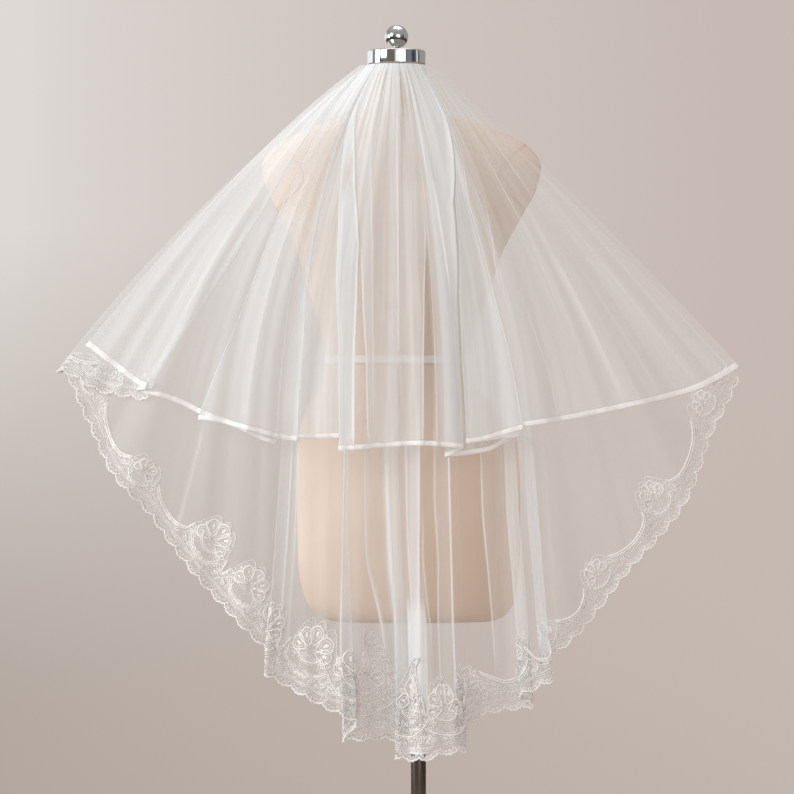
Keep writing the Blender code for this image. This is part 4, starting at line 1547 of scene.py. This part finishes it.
@dataclass
class LaceEdging:
    """The scalloped lace along the hem of the lower tier."""

    veil: Veil
    path: HemPath
    scallop: float = 0.028
    picots: int = 4
    picot_height: float = 0.0026
    overhang: float = 0.0035
    scallop_depth: float = 0.0055
    base_depths: tuple[float, float] = (0.0145, 0.046)
    skirt: tuple[float, float] = (0.016, 0.015)
    bottom_half_span: float = 0.21
    ground_lift: float = 0.0006
    cord_lift: float = 0.0011
    thick_radius: float = 0.00140
    fine_radius: float = 0.00078
    pad_height: float = 0.0004
    ground_step: float = 0.0018
    ground_rows: int = 18
    scroll_step: float = 0.0098
    band_low: float = -0.022
    band_high: float = 0.186
    band_rows: int = 53
    lean_reach: float = 0.030
    most_lean: float = 1.1

    def __post_init__(self) -> None:
        """Reads the lower tier as a band: distance along its hem and distance up from it."""
        offsets = np.linspace(-0.030, 0.215, 100)
        heights = self.path.heights[:, None] + offsets[None, :]
        raw = TierNet(self.veil.drape, Tier.LOWER, self.path, heights).grid
        steps = np.linalg.norm(np.diff(raw, axis=1), axis=2)
        travelled = np.concatenate([np.zeros((len(raw), 1)), np.cumsum(steps, axis=1)], axis=1)
        self.ups = np.linspace(self.band_low, self.band_high, self.band_rows)
        self.grid = np.empty((len(raw), self.band_rows, 3))
        for i, (line, way) in enumerate(zip(raw, travelled)):
            up = way - np.interp(0.0, offsets, way)
            self.grid[i] = along_line(self.ups, up, line)
        zero = int(np.argmin(np.abs(self.ups)))
        hem = self.grid[:, zero]
        self.lengths = np.concatenate(([0.0], np.cumsum(np.linalg.norm(np.diff(hem, axis=0), axis=1))))
        self.across = hem[:, 0]
        self.normals = outward_normals(self.grid[:, ::-1])[:, ::-1]
        self.total = float(self.lengths[-1])
        self.leans = self.find_leans(hem, self.grid[:, zero + 4] - hem)
        LOG.info("lace: %.3f m along the hem", self.total)

    def find_leans(self, hem: Array, columns: Array) -> Array:
        """Finds how far the net's columns lean along the hem, which the lace stands square to.

        Args:
            hem: The points of the hem.
            columns: The way up from each.

        Returns:
            The cotangent of their angle.
        """
        even = np.linspace(0.0, self.total, 400)
        line, ways = along_line(even, self.lengths, hem), along_line(even, self.lengths, columns)
        cosines = np.clip((unit(np.gradient(line, axis=0)) * unit(ways)).sum(axis=1), -0.95, 0.95)
        reach = self.lean_reach / (even[1] - even[0])
        window = np.exp(-0.5 * (np.arange(-3 * int(reach), 3 * int(reach) + 1) / reach) ** 2)
        smooth = np.convolve(cosines, window, "same") / window.sum()
        leans = np.clip(smooth / np.sqrt(1.0 - smooth**2), -self.most_lean, self.most_lean)
        leans *= ease(even, 0.0, 0.06) * (1.0 - ease(even, self.total - 0.03, self.total))
        return np.interp(self.lengths, even, leans)

    def read(self, values: Array, along: Array, up: Array) -> Array:
        """Reads vectors of the band between its points.

        Args:
            values: The vectors.
            along: Distances along the hem.
            up: Distances square to it.

        Returns:
            One vector a place.
        """
        lean = np.interp(along, self.lengths, self.leans)
        column = np.interp(along - up * lean, self.lengths, np.arange(len(self.lengths)))
        row = np.interp(up * np.sqrt(1.0 + lean**2), self.ups, np.arange(len(self.ups)))
        i = np.minimum(column.astype(int), len(self.lengths) - 2)
        j = np.minimum(row.astype(int), len(self.ups) - 2)
        a, b = (column - i)[..., None], (row - j)[..., None]
        return ((values[i, j] * (1 - a) + values[i + 1, j] * a) * (1 - b)
                + (values[i, j + 1] * (1 - a) + values[i + 1, j + 1] * a) * b)

    def lay(self, places: Array, lift: float) -> Array:
        """Lays band places on the cloth.

        Args:
            places: Distances along the hem and up.
            lift: How far out of the cloth.

        Returns:
            The points.
        """
        points = self.read(self.grid, places[..., 0], places[..., 1])
        return points + unit(self.read(self.normals, places[..., 0], places[..., 1])) * lift

    def depth(self, along: Any) -> Array:
        """Finds how far the lace reaches up the tier.

        Args:
            along: Distances along the hem.

        Returns:
            The depth there.
        """
        across = np.interp(along, self.lengths, self.across)
        span, neck = self.bottom_half_span, self.veil.drape.neck_x
        bottom = 1.0 - ease(np.abs(across - neck), 0.4 * span, 1.2 * span)
        reach = self.base_depths[0] + (self.base_depths[1] - self.base_depths[0]) * bottom
        rise = np.zeros_like(reach)
        for cluster in CLUSTERS:
            side = np.abs(along - cluster.place) / cluster.half
            dome = np.maximum(cluster.depth - reach, 0.0) * np.sqrt(np.maximum(1.0 - side**2.6, 0.0))
            skirt = self.skirt[0] * np.exp(-np.maximum(side - 0.94, 0.0) * cluster.half / self.skirt[1])
            rise = np.maximum(rise, np.maximum(dome, skirt))
        return reach + rise

    def upper_edge(self, along: Any) -> Array:
        """The upper edge of the lace: lobed over the clusters and smooth between them."""
        lobes = np.zeros_like(along)
        for cluster in CLUSTERS:
            side = (along - cluster.place) / cluster.half
            wave = np.abs(np.cos(side * math.pi * 1.82 + 0.3 * np.sin(side * 4.0))) - 0.62
            lobes = lobes + 0.13 * cluster.depth * wave * (1.0 - ease(np.abs(side), 0.86, 1.0))
        return self.depth(along) + lobes

    def lower_edge(self, along: Any) -> Array:
        """The scalloped lower edge with its picots, as a distance up from the hem."""
        over = self.overhang + self.scallop_depth * np.abs(np.sin(math.pi * along / self.scallop))
        return -over - self.picot_height * np.sqrt(np.abs(np.sin(self.picots * math.pi * along / self.scallop)))

    def build_ground(self) -> Thing:
        """Builds the net ground between the two edges."""
        along = np.linspace(0.0, self.total, math.ceil(self.total / self.ground_step) + 1)
        shares = np.linspace(0.0, 1.0, self.ground_rows)
        high, low = self.upper_edge(along)[:, None], self.lower_edge(along)[:, None]
        ups = high + (low - high) * shares[None, :]
        places = paired(along[:, None], ups)
        grid = self.lay(places, self.ground_lift)
        edge = np.exp(-((ups - low) / 0.005) ** 2)
        ground = grid_object("lace_net", grid, places, {"edge": edge})
        return place_piece(ground, Slot.LACE, "lace_edging", finish=self.veil.finishes.net)

    def hem_motifs(self, motifs: Motifs) -> None:
        """Lays the cords along both edges and the loops above the scallops."""
        along = np.linspace(0.0, self.total, math.ceil(self.total / 0.0010) + 1)
        low = self.lower_edge(along)
        motifs.thick.append(np.stack([along, low + 0.0006], axis=1))
        coarse = along[::2]
        middle = -0.4 * self.scallop_depth * np.abs(np.sin(math.pi * coarse / self.scallop)) + 0.0062
        motifs.fine += [np.stack([coarse, middle + gap], axis=1) for gap in (0.0, 0.0026)]
        edge = np.stack([coarse, self.upper_edge(coarse) - 0.0008], axis=1)
        inside = np.any([np.abs(coarse - c.place) < 0.88 * c.half for c in CLUSTERS], axis=0)
        breaks = np.flatnonzero(np.diff(inside.astype(int))) + 1
        for run, is_inside in zip(np.split(edge, breaks), inside[np.concatenate(([0], breaks))]):
            (motifs.fine if is_inside else motifs.thick).append(run)
            if not is_inside:
                motifs.thick.append(run - (0.0, 0.0034))
        pitch = self.scallop / self.picots
        for place in np.arange(0.5 * pitch, self.total, pitch):
            high = float(self.lower_edge(place)) + 0.0052
            motifs.arc(np.array((place, high)), 0.0027, 0.0, 2.0 * math.pi)
            motifs.arc(np.array((place, high)), 0.0010, 0.0, 2.0 * math.pi)

    def cluster(self, motifs: Motifs, cluster: Cluster, chance: np.random.Generator) -> None:
        """Works a cluster: a fan of petals, side flowers and a garland.

        Args:
            motifs: Where it goes.
            cluster: The cluster.
            chance: The source of small changes.
        """
        size, half = cluster.depth, cluster.half
        heart = np.array((cluster.place, 0.54 * size))
        reach = min(0.44 * size, 0.040)
        for degrees in (4, 47, 90, 133, 176):
            angle = math.radians(degrees + chance.uniform(-5.0, 5.0))
            ahead = np.array((math.cos(angle), math.sin(angle)))
            length = reach * (0.72 if degrees in (4, 176) else 0.80) * chance.uniform(0.92, 1.04)
            motifs.petal(heart + ahead * reach * 0.18, angle, length, length * 0.74, 1.6, True)
        for degrees in (25, 68, 112, 155):
            motifs.petal(heart + reach * 0.62 * np.array((math.cos(math.radians(degrees)),
                                                           math.sin(math.radians(degrees)))),
                         math.radians(degrees), reach * 0.34, reach * 0.15, 0.8)
        motifs.arc(heart, reach * 0.15, 0.0, 2.0 * math.pi)
        motifs.taken.append((heart[0], heart[1] + 0.2 * reach, reach * 0.9))
        for sign in (-1.0, 1.0):
            spot = np.array((cluster.place + sign * half * 0.70, 0.40 * size))
            motifs.flower(spot, 0.0045 + 0.075 * size, 5, chance.uniform(0.0, 1.2))
            if size > 0.06:
                for lean in (0.35, 0.95):
                    motifs.petal(np.array((cluster.place + sign * half * (0.25 + 0.5 * lean), 0.0125)),
                                 math.pi / 2.0 - sign * lean, 0.16 * size, 0.06 * size, 0.8)
        motifs.garland(heart + (0.0, 0.10 * size), 0.44 * size, 0.0030, 0.95)
        if size > 0.075:
            motifs.garland(heart + (0.0, 0.10 * size), 0.23 * size, 0.0028, 1.15)

    def cords_between(self, motifs: Motifs) -> None:
        """Lays the double cord that swings low between the clusters and high beside them."""
        along = np.linspace(0.0, self.total, math.ceil(self.total / 0.0024) + 1)
        swing = np.maximum(self.depth(along) - 0.020, 0.0)
        for gap in (0.0, 0.0030):
            motifs.fine.append(np.stack([along, 0.0105 + gap + 0.42 * swing], axis=1))

    def fill_scrolls(self, motifs: Motifs, chance: np.random.Generator) -> None:
        """Fills the ground between the motifs with small scrolls.

        Args:
            motifs: The embroidery.
            chance: The source of small changes.
        """
        taken, step = np.array(motifs.taken), self.scroll_step
        for row in range(16):
            up = 0.0135 + row * step * 0.92
            for along in np.arange(0.006 + step * 0.5 * (row % 2), self.total - 0.004, step):
                spot = np.array((along, up)) + chance.uniform(-0.0014, 0.0014, 2)
                radius = chance.uniform(0.0036, 0.0048)
                away = np.hypot(taken[:, 0] - spot[0], taken[:, 1] - spot[1]) - taken[:, 2]
                if spot[1] + radius < float(self.upper_edge(spot[0])) - 0.001 and away.min() > 0.4 * radius:
                    motifs.spiral(spot, radius, chance.uniform(0.0, 6.3), chance.choice((-1.0, 1.0)))

    def motifs(self) -> Motifs:
        """Works the whole embroidery.

        Returns:
            Its cords and pads.
        """
        motifs, chance = Motifs(), np.random.default_rng(SEED)
        self.hem_motifs(motifs)
        self.cords_between(motifs)
        for cluster in CLUSTERS:
            self.cluster(motifs, cluster, chance)
        self.fill_scrolls(motifs, chance)
        return motifs

    def build_pads(self, motifs: Motifs) -> Thing:
        """Builds the stitched pads of the flowers and leaves.

        Args:
            motifs: The embroidery.

        Returns:
            The pads.
        """
        values = np.array(motifs.pads)
        centres, angles = values[:, :2], values[:, 2]
        points = self.lay(centres, self.ground_lift)
        fronts = self.lay(centres + directions(angles) * 0.0015, self.ground_lift)
        normals = self.read(self.normals, centres[:, 0], centres[:, 1])
        turns = []
        for point, front, normal in zip(points, fronts, normals):
            along, out = Vector(front - point).normalized(), Vector(normal).normalized()
            aside = out.cross(along).normalized()
            turns.append(euler_of(aside.cross(out).normalized(), aside, out))
        sizes = np.stack([values[:, 3], values[:, 4], np.full(len(values), self.pad_height)], axis=1)
        shape = pad_shape("pad_shape", 10, 3)
        pads = scattered("lace_petals", points, np.array(turns), sizes, shape, self.veil.repeats,
                         self.veil.finishes.thread)
        bpy.data.objects.remove(shape, do_unlink=True)
        return place_piece(pads, Slot.LACE)

    def build(self) -> list[Thing]:
        """Builds the lace.

        Returns:
            Its pieces.
        """
        motifs = self.motifs()
        pieces = [self.build_ground()]
        for name, lines, radius, sides in (("lace_thick_cords", motifs.thick, self.thick_radius, 4),
                                           ("lace_fine_cords", motifs.fine, self.fine_radius, 3),
                                           ("lace_scrolls", motifs.scrolls, self.fine_radius, 3)):
            laid = [self.lay(self.kept(line), self.cord_lift) for line in lines]
            cords = corded(name, laid, radius, sides, self.veil.repeats, self.veil.finishes.thread)
            pieces.append(place_piece(cords, Slot.LACE))
        pieces.append(self.build_pads(motifs))
        return pieces

    def kept(self, line: Array) -> Array:
        """Keeps a line within the two ends of the lace."""
        return np.stack([np.clip(line[:, 0], 0.0, self.total), line[:, 1]], axis=1)


# The dress form and its stand


@dataclass(frozen=True)
class Section:
    """A level outline of the form: its centre and half width across, and its depths."""

    height: float
    centre: float
    half_width: float
    back: float
    front: float


FORM_SECTIONS = tuple(Section(*row) for row in (
    # Neck
    (1.5197, -0.033, 0.041, 0.041, 0.041), (1.48, -0.033, 0.0415, 0.042, 0.043),
    (1.455, -0.032, 0.05, 0.05, 0.052),
    # Shoulders
    (1.444, -0.03, 0.074, 0.058, 0.058), (1.43, -0.028, 0.12, 0.068, 0.065),
    (1.412, -0.026, 0.165, 0.078, 0.074), (1.394, -0.026, 0.194, 0.086, 0.084),
    (1.368, -0.026, 0.209, 0.094, 0.096), (1.335, -0.026, 0.2025, 0.102, 0.112),
    # Bust
    (1.295, -0.026, 0.181, 0.108, 0.128), (1.243, -0.028, 0.155, 0.108, 0.142),
    (1.18, -0.03, 0.135, 0.098, 0.122),
    # Waist
    (1.115, -0.032, 0.113, 0.084, 0.098), (1.0775, -0.033, 0.107, 0.08, 0.092),
    (1.045, -0.032, 0.112, 0.086, 0.096),
    # Hips
    (1.005, -0.027, 0.14, 0.102, 0.104), (0.955, -0.017, 0.164, 0.12, 0.108),
    (0.87, -0.015, 0.167, 0.128, 0.106), (0.78, -0.015, 0.166, 0.12, 0.1),
    # Under edge
    (0.718, -0.013, 0.156, 0.106, 0.092), (0.695, -0.01, 0.14, 0.094, 0.082),
    (0.6875, -0.008, 0.124, 0.082, 0.07),
))


@dataclass
class DressForm:
    """The limbless form: its knitted cover, its waist tape and its seams."""

    finishes: Finishes
    repeats: Repeats
    around: int = 144
    rows: int = 190
    roundness: float = 2.25
    tape_height: float = 1.0775
    tape_width: float = 0.013
    tape_wall: float = 0.001
    seam_gap: float = 0.0003

    def outline(self, heights: Array, angles: Array, grow: float = 0.0) -> Array:
        """Finds points of the form's surface.

        Args:
            heights: The heights.
            angles: The angles from +X towards +Y.
            grow: How far outside.

        Returns:
            The points.
        """
        table = FORM_SECTIONS[::-1]
        knots = [s.height for s in table]
        centre, half, back, front = (smooth_curve(knots, [getattr(s, key) for s in table], heights)
                                     for key in ("centre", "half_width", "back", "front"))
        power = 2.0 / self.roundness
        across = np.sign(np.cos(angles)) * np.abs(np.cos(angles)) ** power
        deep = np.sign(np.sin(angles)) * np.abs(np.sin(angles)) ** power
        depth = np.where(deep > 0.0, front, back)
        return paired(centre + (half + grow) * across, (depth + grow) * deep, heights)

    def build_cover(self) -> Thing:
        """Builds the smooth covered body, closed above and below."""
        top, low = FORM_SECTIONS[0].height, FORM_SECTIONS[-1].height
        heights = np.linspace(top, low, self.rows)
        angles = -np.arange(self.around) * 2.0 * math.pi / self.around
        grid = self.outline(heights[None, :], angles[:, None])
        columns, rows = grid.shape[:2]
        points = grid.reshape(-1, 3)
        ends = np.array([(FORM_SECTIONS[0].centre, 0.0, top), (FORM_SECTIONS[-1].centre, 0.0, low)])
        faces = grid_faces(columns, rows, True)[:, ::-1].tolist()
        first = len(points)
        for k in range(columns):
            here, there = k * rows, (k + 1) % columns * rows
            faces.append((first, there, here))
            faces.append((first + 1, here + rows - 1, there + rows - 1))
        cover = mesh_object("form_cover", np.concatenate([points, ends]), faces)
        flat = paired(angles[:, None] * 0.12, heights[None, :]).reshape(-1, 2)
        add_uv(cover, np.concatenate([flat, [(0.0, top), (0.0, low)]]))
        return place_piece(cover, Slot.FORM_COVER, "form_torso", finish=self.finishes.cover)

    def build_tape(self) -> Thing:
        """Builds the white tape round the waist."""
        half = self.tape_width / 2.0
        heights = np.linspace(self.tape_height + half, self.tape_height - half, 5)
        angles = np.arange(self.around) * 2.0 * math.pi / self.around
        grid = self.outline(heights[None, :], angles[:, None], self.seam_gap + self.tape_wall / 2.0)
        uv = paired(angles[:, None] * 0.1, heights[None, :])
        tape = grid_object("waist_tape_woven", grid, uv, closed=True)
        add_wall(tape, self.tape_wall * 0.8)
        return place_piece(tape, Slot.WAIST_TAPE, "waist_tape", finish=self.finishes.tape)

    def build_seams(self) -> Thing:
        """Builds the raised seams of the cover: the middle of the back and front, sides and arm plates."""
        lines = []
        for degrees in (-90.0, 90.0, 0.0, 180.0):
            heights = np.linspace(1.440, 0.700, 170)
            lines.append(self.outline(heights, np.full(170, math.radians(degrees)), 0.0))
        for side in (1.0, -1.0):
            turn = np.linspace(0.0, 2.0 * math.pi, 49)
            high = 1.352 + 0.048 * np.sin(turn)
            lean = math.radians(48.0) * np.cos(turn)
            angle = -lean if side > 0 else math.pi + lean
            ring = self.outline(high, angle, 0.0)
            ring[-1] = ring[0]
            lines.append(ring)
        seams = corded("form_seams", lines, 0.0007, 5, self.repeats, self.finishes.seam)
        return place_piece(seams, Slot.FORM_COVER)

    def build(self) -> None:
        """Builds the form."""
        self.build_cover()
        self.build_tape()
        self.build_seams()


@dataclass
class Stand:
    """The polished cap and ball, the pole and the base."""

    finishes: Finishes
    neck_x: float = -0.033
    cap_radius: float = 0.0435
    cap_low: float = 1.520
    cap_high: float = 1.5415
    cap_edge: float = 0.002
    ball_radius: float = 0.0176
    ball_centre: float = 1.5625
    stem_radius: float = 0.007
    pole_radius: float = 0.01125
    pole_top: float = 0.6872
    base_radius: float = 0.180
    base_edge: float = 0.012
    base_crown: float = 0.018
    sleeve_radius: float = 0.020
    sleeve_high: float = 0.060
    sleeve_bend: float = 0.006
    seam_gap: float = 0.0003

    def build_cap(self) -> None:
        """Builds the cap with its rolled edges and the stem of the ball."""
        edge = self.cap_radius - self.cap_edge
        stem_top = self.ball_centre - self.ball_radius - self.seam_gap
        stem = self.stem_radius
        profile = [(0.0, stem_top), (stem - 0.0005, stem_top), (stem, stem_top - 0.0005)]
        profile += [(stem, self.cap_high + 0.001), (stem + 0.001, self.cap_high)]
        profile += arc_profile(edge, self.cap_high - self.cap_edge, self.cap_edge, 0.0, 90.0, 8)
        profile += arc_profile(edge, self.cap_low + self.cap_edge, self.cap_edge, 90.0, 180.0, 8)
        profile += [(0.0, self.cap_low)]
        cap = turned_object("neck_cap_polished", profile, self.neck_x, 96)
        place_piece(cap, Slot.POLISHED_METAL, "neck_cap", finish=self.finishes.chrome)
        ball_profile = arc_profile(0.0, self.ball_centre, self.ball_radius, 0.0, 180.0, 40)
        ball = turned_object("ball_polished", ball_profile, self.neck_x, 64)
        place_piece(ball, Slot.POLISHED_METAL, "finial_ball", finish=self.finishes.chrome)

    def build_pole(self) -> None:
        """Builds the pole and the round base with its sleeve."""
        low = self.base_crown + self.seam_gap
        pole = turned_object("pole_tube", [(0.0, self.pole_top), (self.pole_radius - 0.0006, self.pole_top),
                                           (self.pole_radius, self.pole_top - 0.0006),
                                           (self.pole_radius, low), (0.0, low)], 0.0, 64)
        bore = self.pole_radius + self.seam_gap
        profile = [(0.0, self.base_crown), (bore, self.base_crown), (bore, self.sleeve_high - 0.0005)]
        profile += [(bore + 0.0008, self.sleeve_high)]
        profile += arc_profile(self.sleeve_radius - self.cap_edge, self.sleeve_high - self.cap_edge,
                               self.cap_edge, 0.0, 90.0, 6)
        profile += [(self.sleeve_radius, self.base_crown + self.sleeve_bend)]
        bend, foot = self.sleeve_bend, self.sleeve_radius
        profile += [(foot + bend * (1.0 - math.cos(a)), self.base_crown + bend * (1.0 - math.sin(a)))
                    for a in np.linspace(0.2, math.pi / 2.0, 6)]
        half = self.base_edge / 2.0
        profile += arc_profile(self.base_radius - half, half, half, 0.0, 180.0, 14)
        profile += [(0.0, 0.0)]
        base = turned_object("base_round", profile, 0.0, 128)
        for piece, node in ((pole, "pole"), (base, "stand_base")):
            place_piece(piece, Slot.STAND_METAL, node, finish=self.finishes.stand)

    def build(self) -> None:
        """Builds the metal pieces."""
        self.build_cap()
        self.build_pole()


# The studio


@dataclass(frozen=True)
class Lamp:
    """A soft square lamp that cameras don't see, with its side in metres and its power in watts."""

    name: str
    place: Triple
    aim: Triple
    side: float
    power: float
    colour: Triple

    def build(self) -> None:
        """Puts the lamp in its place."""
        data = bpy.data.lights.new(self.name, "AREA")
        data.shape, data.size, data.energy, data.color = "SQUARE", self.side, self.power, self.colour
        lamp = bpy.data.objects.new(self.name, data)
        lamp.location = self.place
        lamp.rotation_euler = (Vector(self.aim) - Vector(self.place)).to_track_quat("-Z", "Y").to_euler()
        lamp.visible_camera = False
        bpy.context.scene.collection.objects.link(lamp)


LAMPS = tuple(Lamp(*row) for row in (
    ("key_left", (-3.8, -2.9, 2.9), (-0.05, 0.0, 1.05), 2.2, 74.0, (0.97, 0.99, 1.0)),
    ("side_left", (-5.2, -0.7, 1.9), (-0.05, 0.0, 1.0), 2.0, 98.0, (0.94, 0.98, 1.0)),
    ("fill_front", (2.0, -4.8, 1.8), (0.0, 0.0, 1.0), 2.6, 26.0, (1.0, 0.96, 0.92)),
    ("top_soft", (0.3, 0.6, 4.6), (0.0, 0.0, 1.0), 2.5, 30.0, (1.0, 0.98, 0.96))))


@dataclass
class Studio:
    """The camera, the room's light and the round backdrop."""

    camera_place: Triple = (-0.0322, -5.5, 1.022)
    lens: float = 166.2
    floor_radius: float = 8.5
    wall_radius: float = 12.0
    wall_high: float = 14.0
    view_low: float = -0.90
    view_high: float = 1.75
    # Painted light: corner tones of the backdrop's glow, paler at the upper left and darker low on the left, as
    # lamps from the left would light it.
    painted_light_high_left: Colour = linear(222, 217, 213)
    painted_light_high_right: Colour = linear(199, 186, 180)
    painted_light_low_left: Colour = linear(166, 154, 145)
    painted_light_low_right: Colour = linear(197, 184, 176)
    # Painted reflection: bright panels and dark gaps by angle round the stand, which only glossy rays see on
    # the backdrop.
    painted_reflection_bands: tuple[tuple[float, Triple], ...] = (
        (0.0, (0.95, 0.95, 0.95)), (0.185, (1.1, 1.12, 1.15)), (0.215, (0.05, 0.07, 0.12)),
        (0.33, (0.07, 0.09, 0.13)), (0.375, (0.20, 0.17, 0.15)), (0.475, (0.16, 0.14, 0.13)),
        (0.50, (1.2, 1.2, 1.2)), (0.55, (1.2, 1.2, 1.2)), (0.585, (0.10, 0.12, 0.14)),
        (0.65, (0.22, 0.25, 0.28)), (0.70, (0.03, 0.03, 0.04)), (0.735, (0.16, 0.18, 0.2)),
        (0.752, (1.1, 1.1, 1.1)), (0.768, (0.05, 0.05, 0.05)), (0.80, (0.38, 0.35, 0.34)))

    def build_camera(self) -> None:
        """Puts the camera at the photograph's place."""
        data = bpy.data.cameras.new("camera")
        data.lens, data.sensor_width = self.lens, 36.0
        camera = bpy.data.objects.new("camera", data)
        camera.location = self.camera_place
        camera.rotation_euler = (math.radians(90.0), 0.0, 0.0)
        bpy.context.scene.collection.objects.link(camera)
        bpy.context.scene.camera = camera

    def backdrop_finish(self) -> Material:
        """Builds the finish of the backdrop: far away it glows with painted light, paler at the upper left, and
        glossy rays see a painted reflection on it.
        """
        material = bpy.data.materials.new("backdrop_paper")
        material.use_nodes = True
        graph, shader = Graph(material.node_tree), material.node_tree.nodes["Principled BSDF"]
        place = graph.node("ShaderNodeTexCoord").outputs["Object"]
        parts = graph.node("ShaderNodeSeparateXYZ", {0: place})
        x, y, z = parts.outputs
        squares = graph.maths("MULTIPLY_ADD", x, x, graph.maths("MULTIPLY", y, y))
        radius = graph.maths("SQRT", squares)
        drop = graph.maths("MULTIPLY", graph.maths("SUBTRACT", self.wall_radius, radius), 0.11)
        level = graph.maths("SUBTRACT", z, drop)
        # Painted light: the glow's tone is mixed across and up between the four corner tones.
        across = graph.node("ShaderNodeMapRange", {0: x, 1: -1.75, 2: 1.5, 3: 0.0, 4: 1.0}).outputs[0]
        across = graph.maths("POWER", across, 0.62)
        up = graph.node("ShaderNodeMapRange", {0: level, 1: self.view_low, 2: self.view_high}).outputs[0]
        high = graph.mix(across, self.painted_light_high_left, self.painted_light_high_right)
        low = graph.mix(across, self.painted_light_low_left, self.painted_light_low_right)
        tone = graph.mix(up, low, high)
        shader.inputs["Roughness"].default_value = 1.0
        shader.inputs["Specular IOR Level"].default_value = 0.0
        # Far from the stand the backdrop glows with this painted light instead of being lit; near the stand it
        # is plain diffuse.
        glow = graph.ramp(radius, 1.6, 3.6)
        dark = (0.0, 0.0, 0.0, 1.0)
        seen = graph.mix(glow, dark, tone)
        # Glossy rays see the painted reflection in place of the painted light glow.
        glossy_ray = graph.node("ShaderNodeLightPath").outputs["Is Glossy Ray"]
        graph.feed(shader.inputs["Emission Color"], graph.mix(glossy_ray, seen, self.painted_reflection(graph, x, y, z)))
        shader.inputs["Emission Strength"].default_value = 1.0
        base = graph.mix(glow, linear(205, 196, 190), dark)
        graph.feed(shader.inputs["Base Color"], base)
        return material

    def painted_reflection(self, graph: Graph, x: Any, y: Any, z: Any) -> Any:
        """A painted reflection for polished metal: pale panels and dark gaps of a studio, which glossy rays see
        on the backdrop.

        Args:
            graph: The backdrop's graph.
            x: Its place across.
            y: Its place away.
            z: Its height.

        Returns:
            The painted reflection's colour.
        """
        turn = graph.maths("ARCTAN2", x, graph.maths("MULTIPLY", y, -1.0))
        share = graph.maths("MULTIPLY_ADD", turn, 0.5 / math.pi, 0.5)
        bands = graph.node("ShaderNodeValToRGB", {0: share})
        stops = bands.color_ramp.elements
        while len(stops) < len(self.painted_reflection_bands):
            stops.new(1.0)
        for stop, (place, colour) in zip(stops, self.painted_reflection_bands):
            stop.position, stop.color = place, (*colour, 1.0)
        above = graph.ramp(z, 3.0, 7.0)
        below = graph.ramp(z, 0.1, 0.9, 1.0, 0.0)
        tone = graph.mix(above, bands.outputs[0], (0.34, 0.35, 0.32, 1.0))
        return graph.mix(below, tone, (0.07, 0.06, 0.05, 1.0))

    def build_backdrop(self) -> None:
        """Builds the floor that curves up into a round wall."""
        bend = self.wall_radius - self.floor_radius
        profile = [(r, 0.0) for r in (0.001, 0.4, 1.0, 2.0, 4.0, 6.0, self.floor_radius)]
        profile += [(self.floor_radius + bend * math.sin(a), bend * (1.0 - math.cos(a)))
                    for a in np.linspace(0.0, math.pi / 2.0, 17)[1:]]
        profile += [(self.wall_radius, h) for h in (6.0, 10.0, self.wall_high)]
        angles = np.arange(96) * 2.0 * math.pi / 96
        grid = np.array([[(r * math.cos(a), r * math.sin(a), h - 0.0004) for r, h in profile] for a in angles])
        rows = len(profile)
        faces = grid_faces(len(angles), rows, True)[:, ::-1].tolist()
        bowl = mesh_object("backdrop", grid.reshape(-1, 3), faces)
        bowl.data.materials.append(self.backdrop_finish())

    def build(self) -> None:
        """Builds the studio."""
        scene = bpy.context.scene
        scene.view_settings.view_transform = "Standard"
        if hasattr(scene, "cycles"):
            scene.cycles.transparent_max_bounces = 48
        world = bpy.data.worlds.new("soft_room")
        world.use_nodes = True
        background = world.node_tree.nodes["Background"]
        background.inputs["Color"].default_value = linear(238, 234, 231)
        background.inputs["Strength"].default_value = 0.55
        scene.world = world
        self.build_camera()
        self.build_backdrop()
        for lamp in LAMPS:
            lamp.build()


def main() -> None:
    """Builds the studio, the form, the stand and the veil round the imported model."""
    logging.basicConfig(level=logging.INFO, format="%(name)s %(message)s")
    for thing in [o for o in bpy.data.objects if o.type in {"LIGHT", "CAMERA"} or o.name == "Cube"]:
        bpy.data.objects.remove(thing, do_unlink=True)
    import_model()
    finishes, repeats = Finishes(), Repeats()
    Studio().build()
    DressForm(finishes, repeats).build()
    Stand(finishes).build()
    Veil(finishes, repeats).build()


if __name__ == "__main__":
    main()
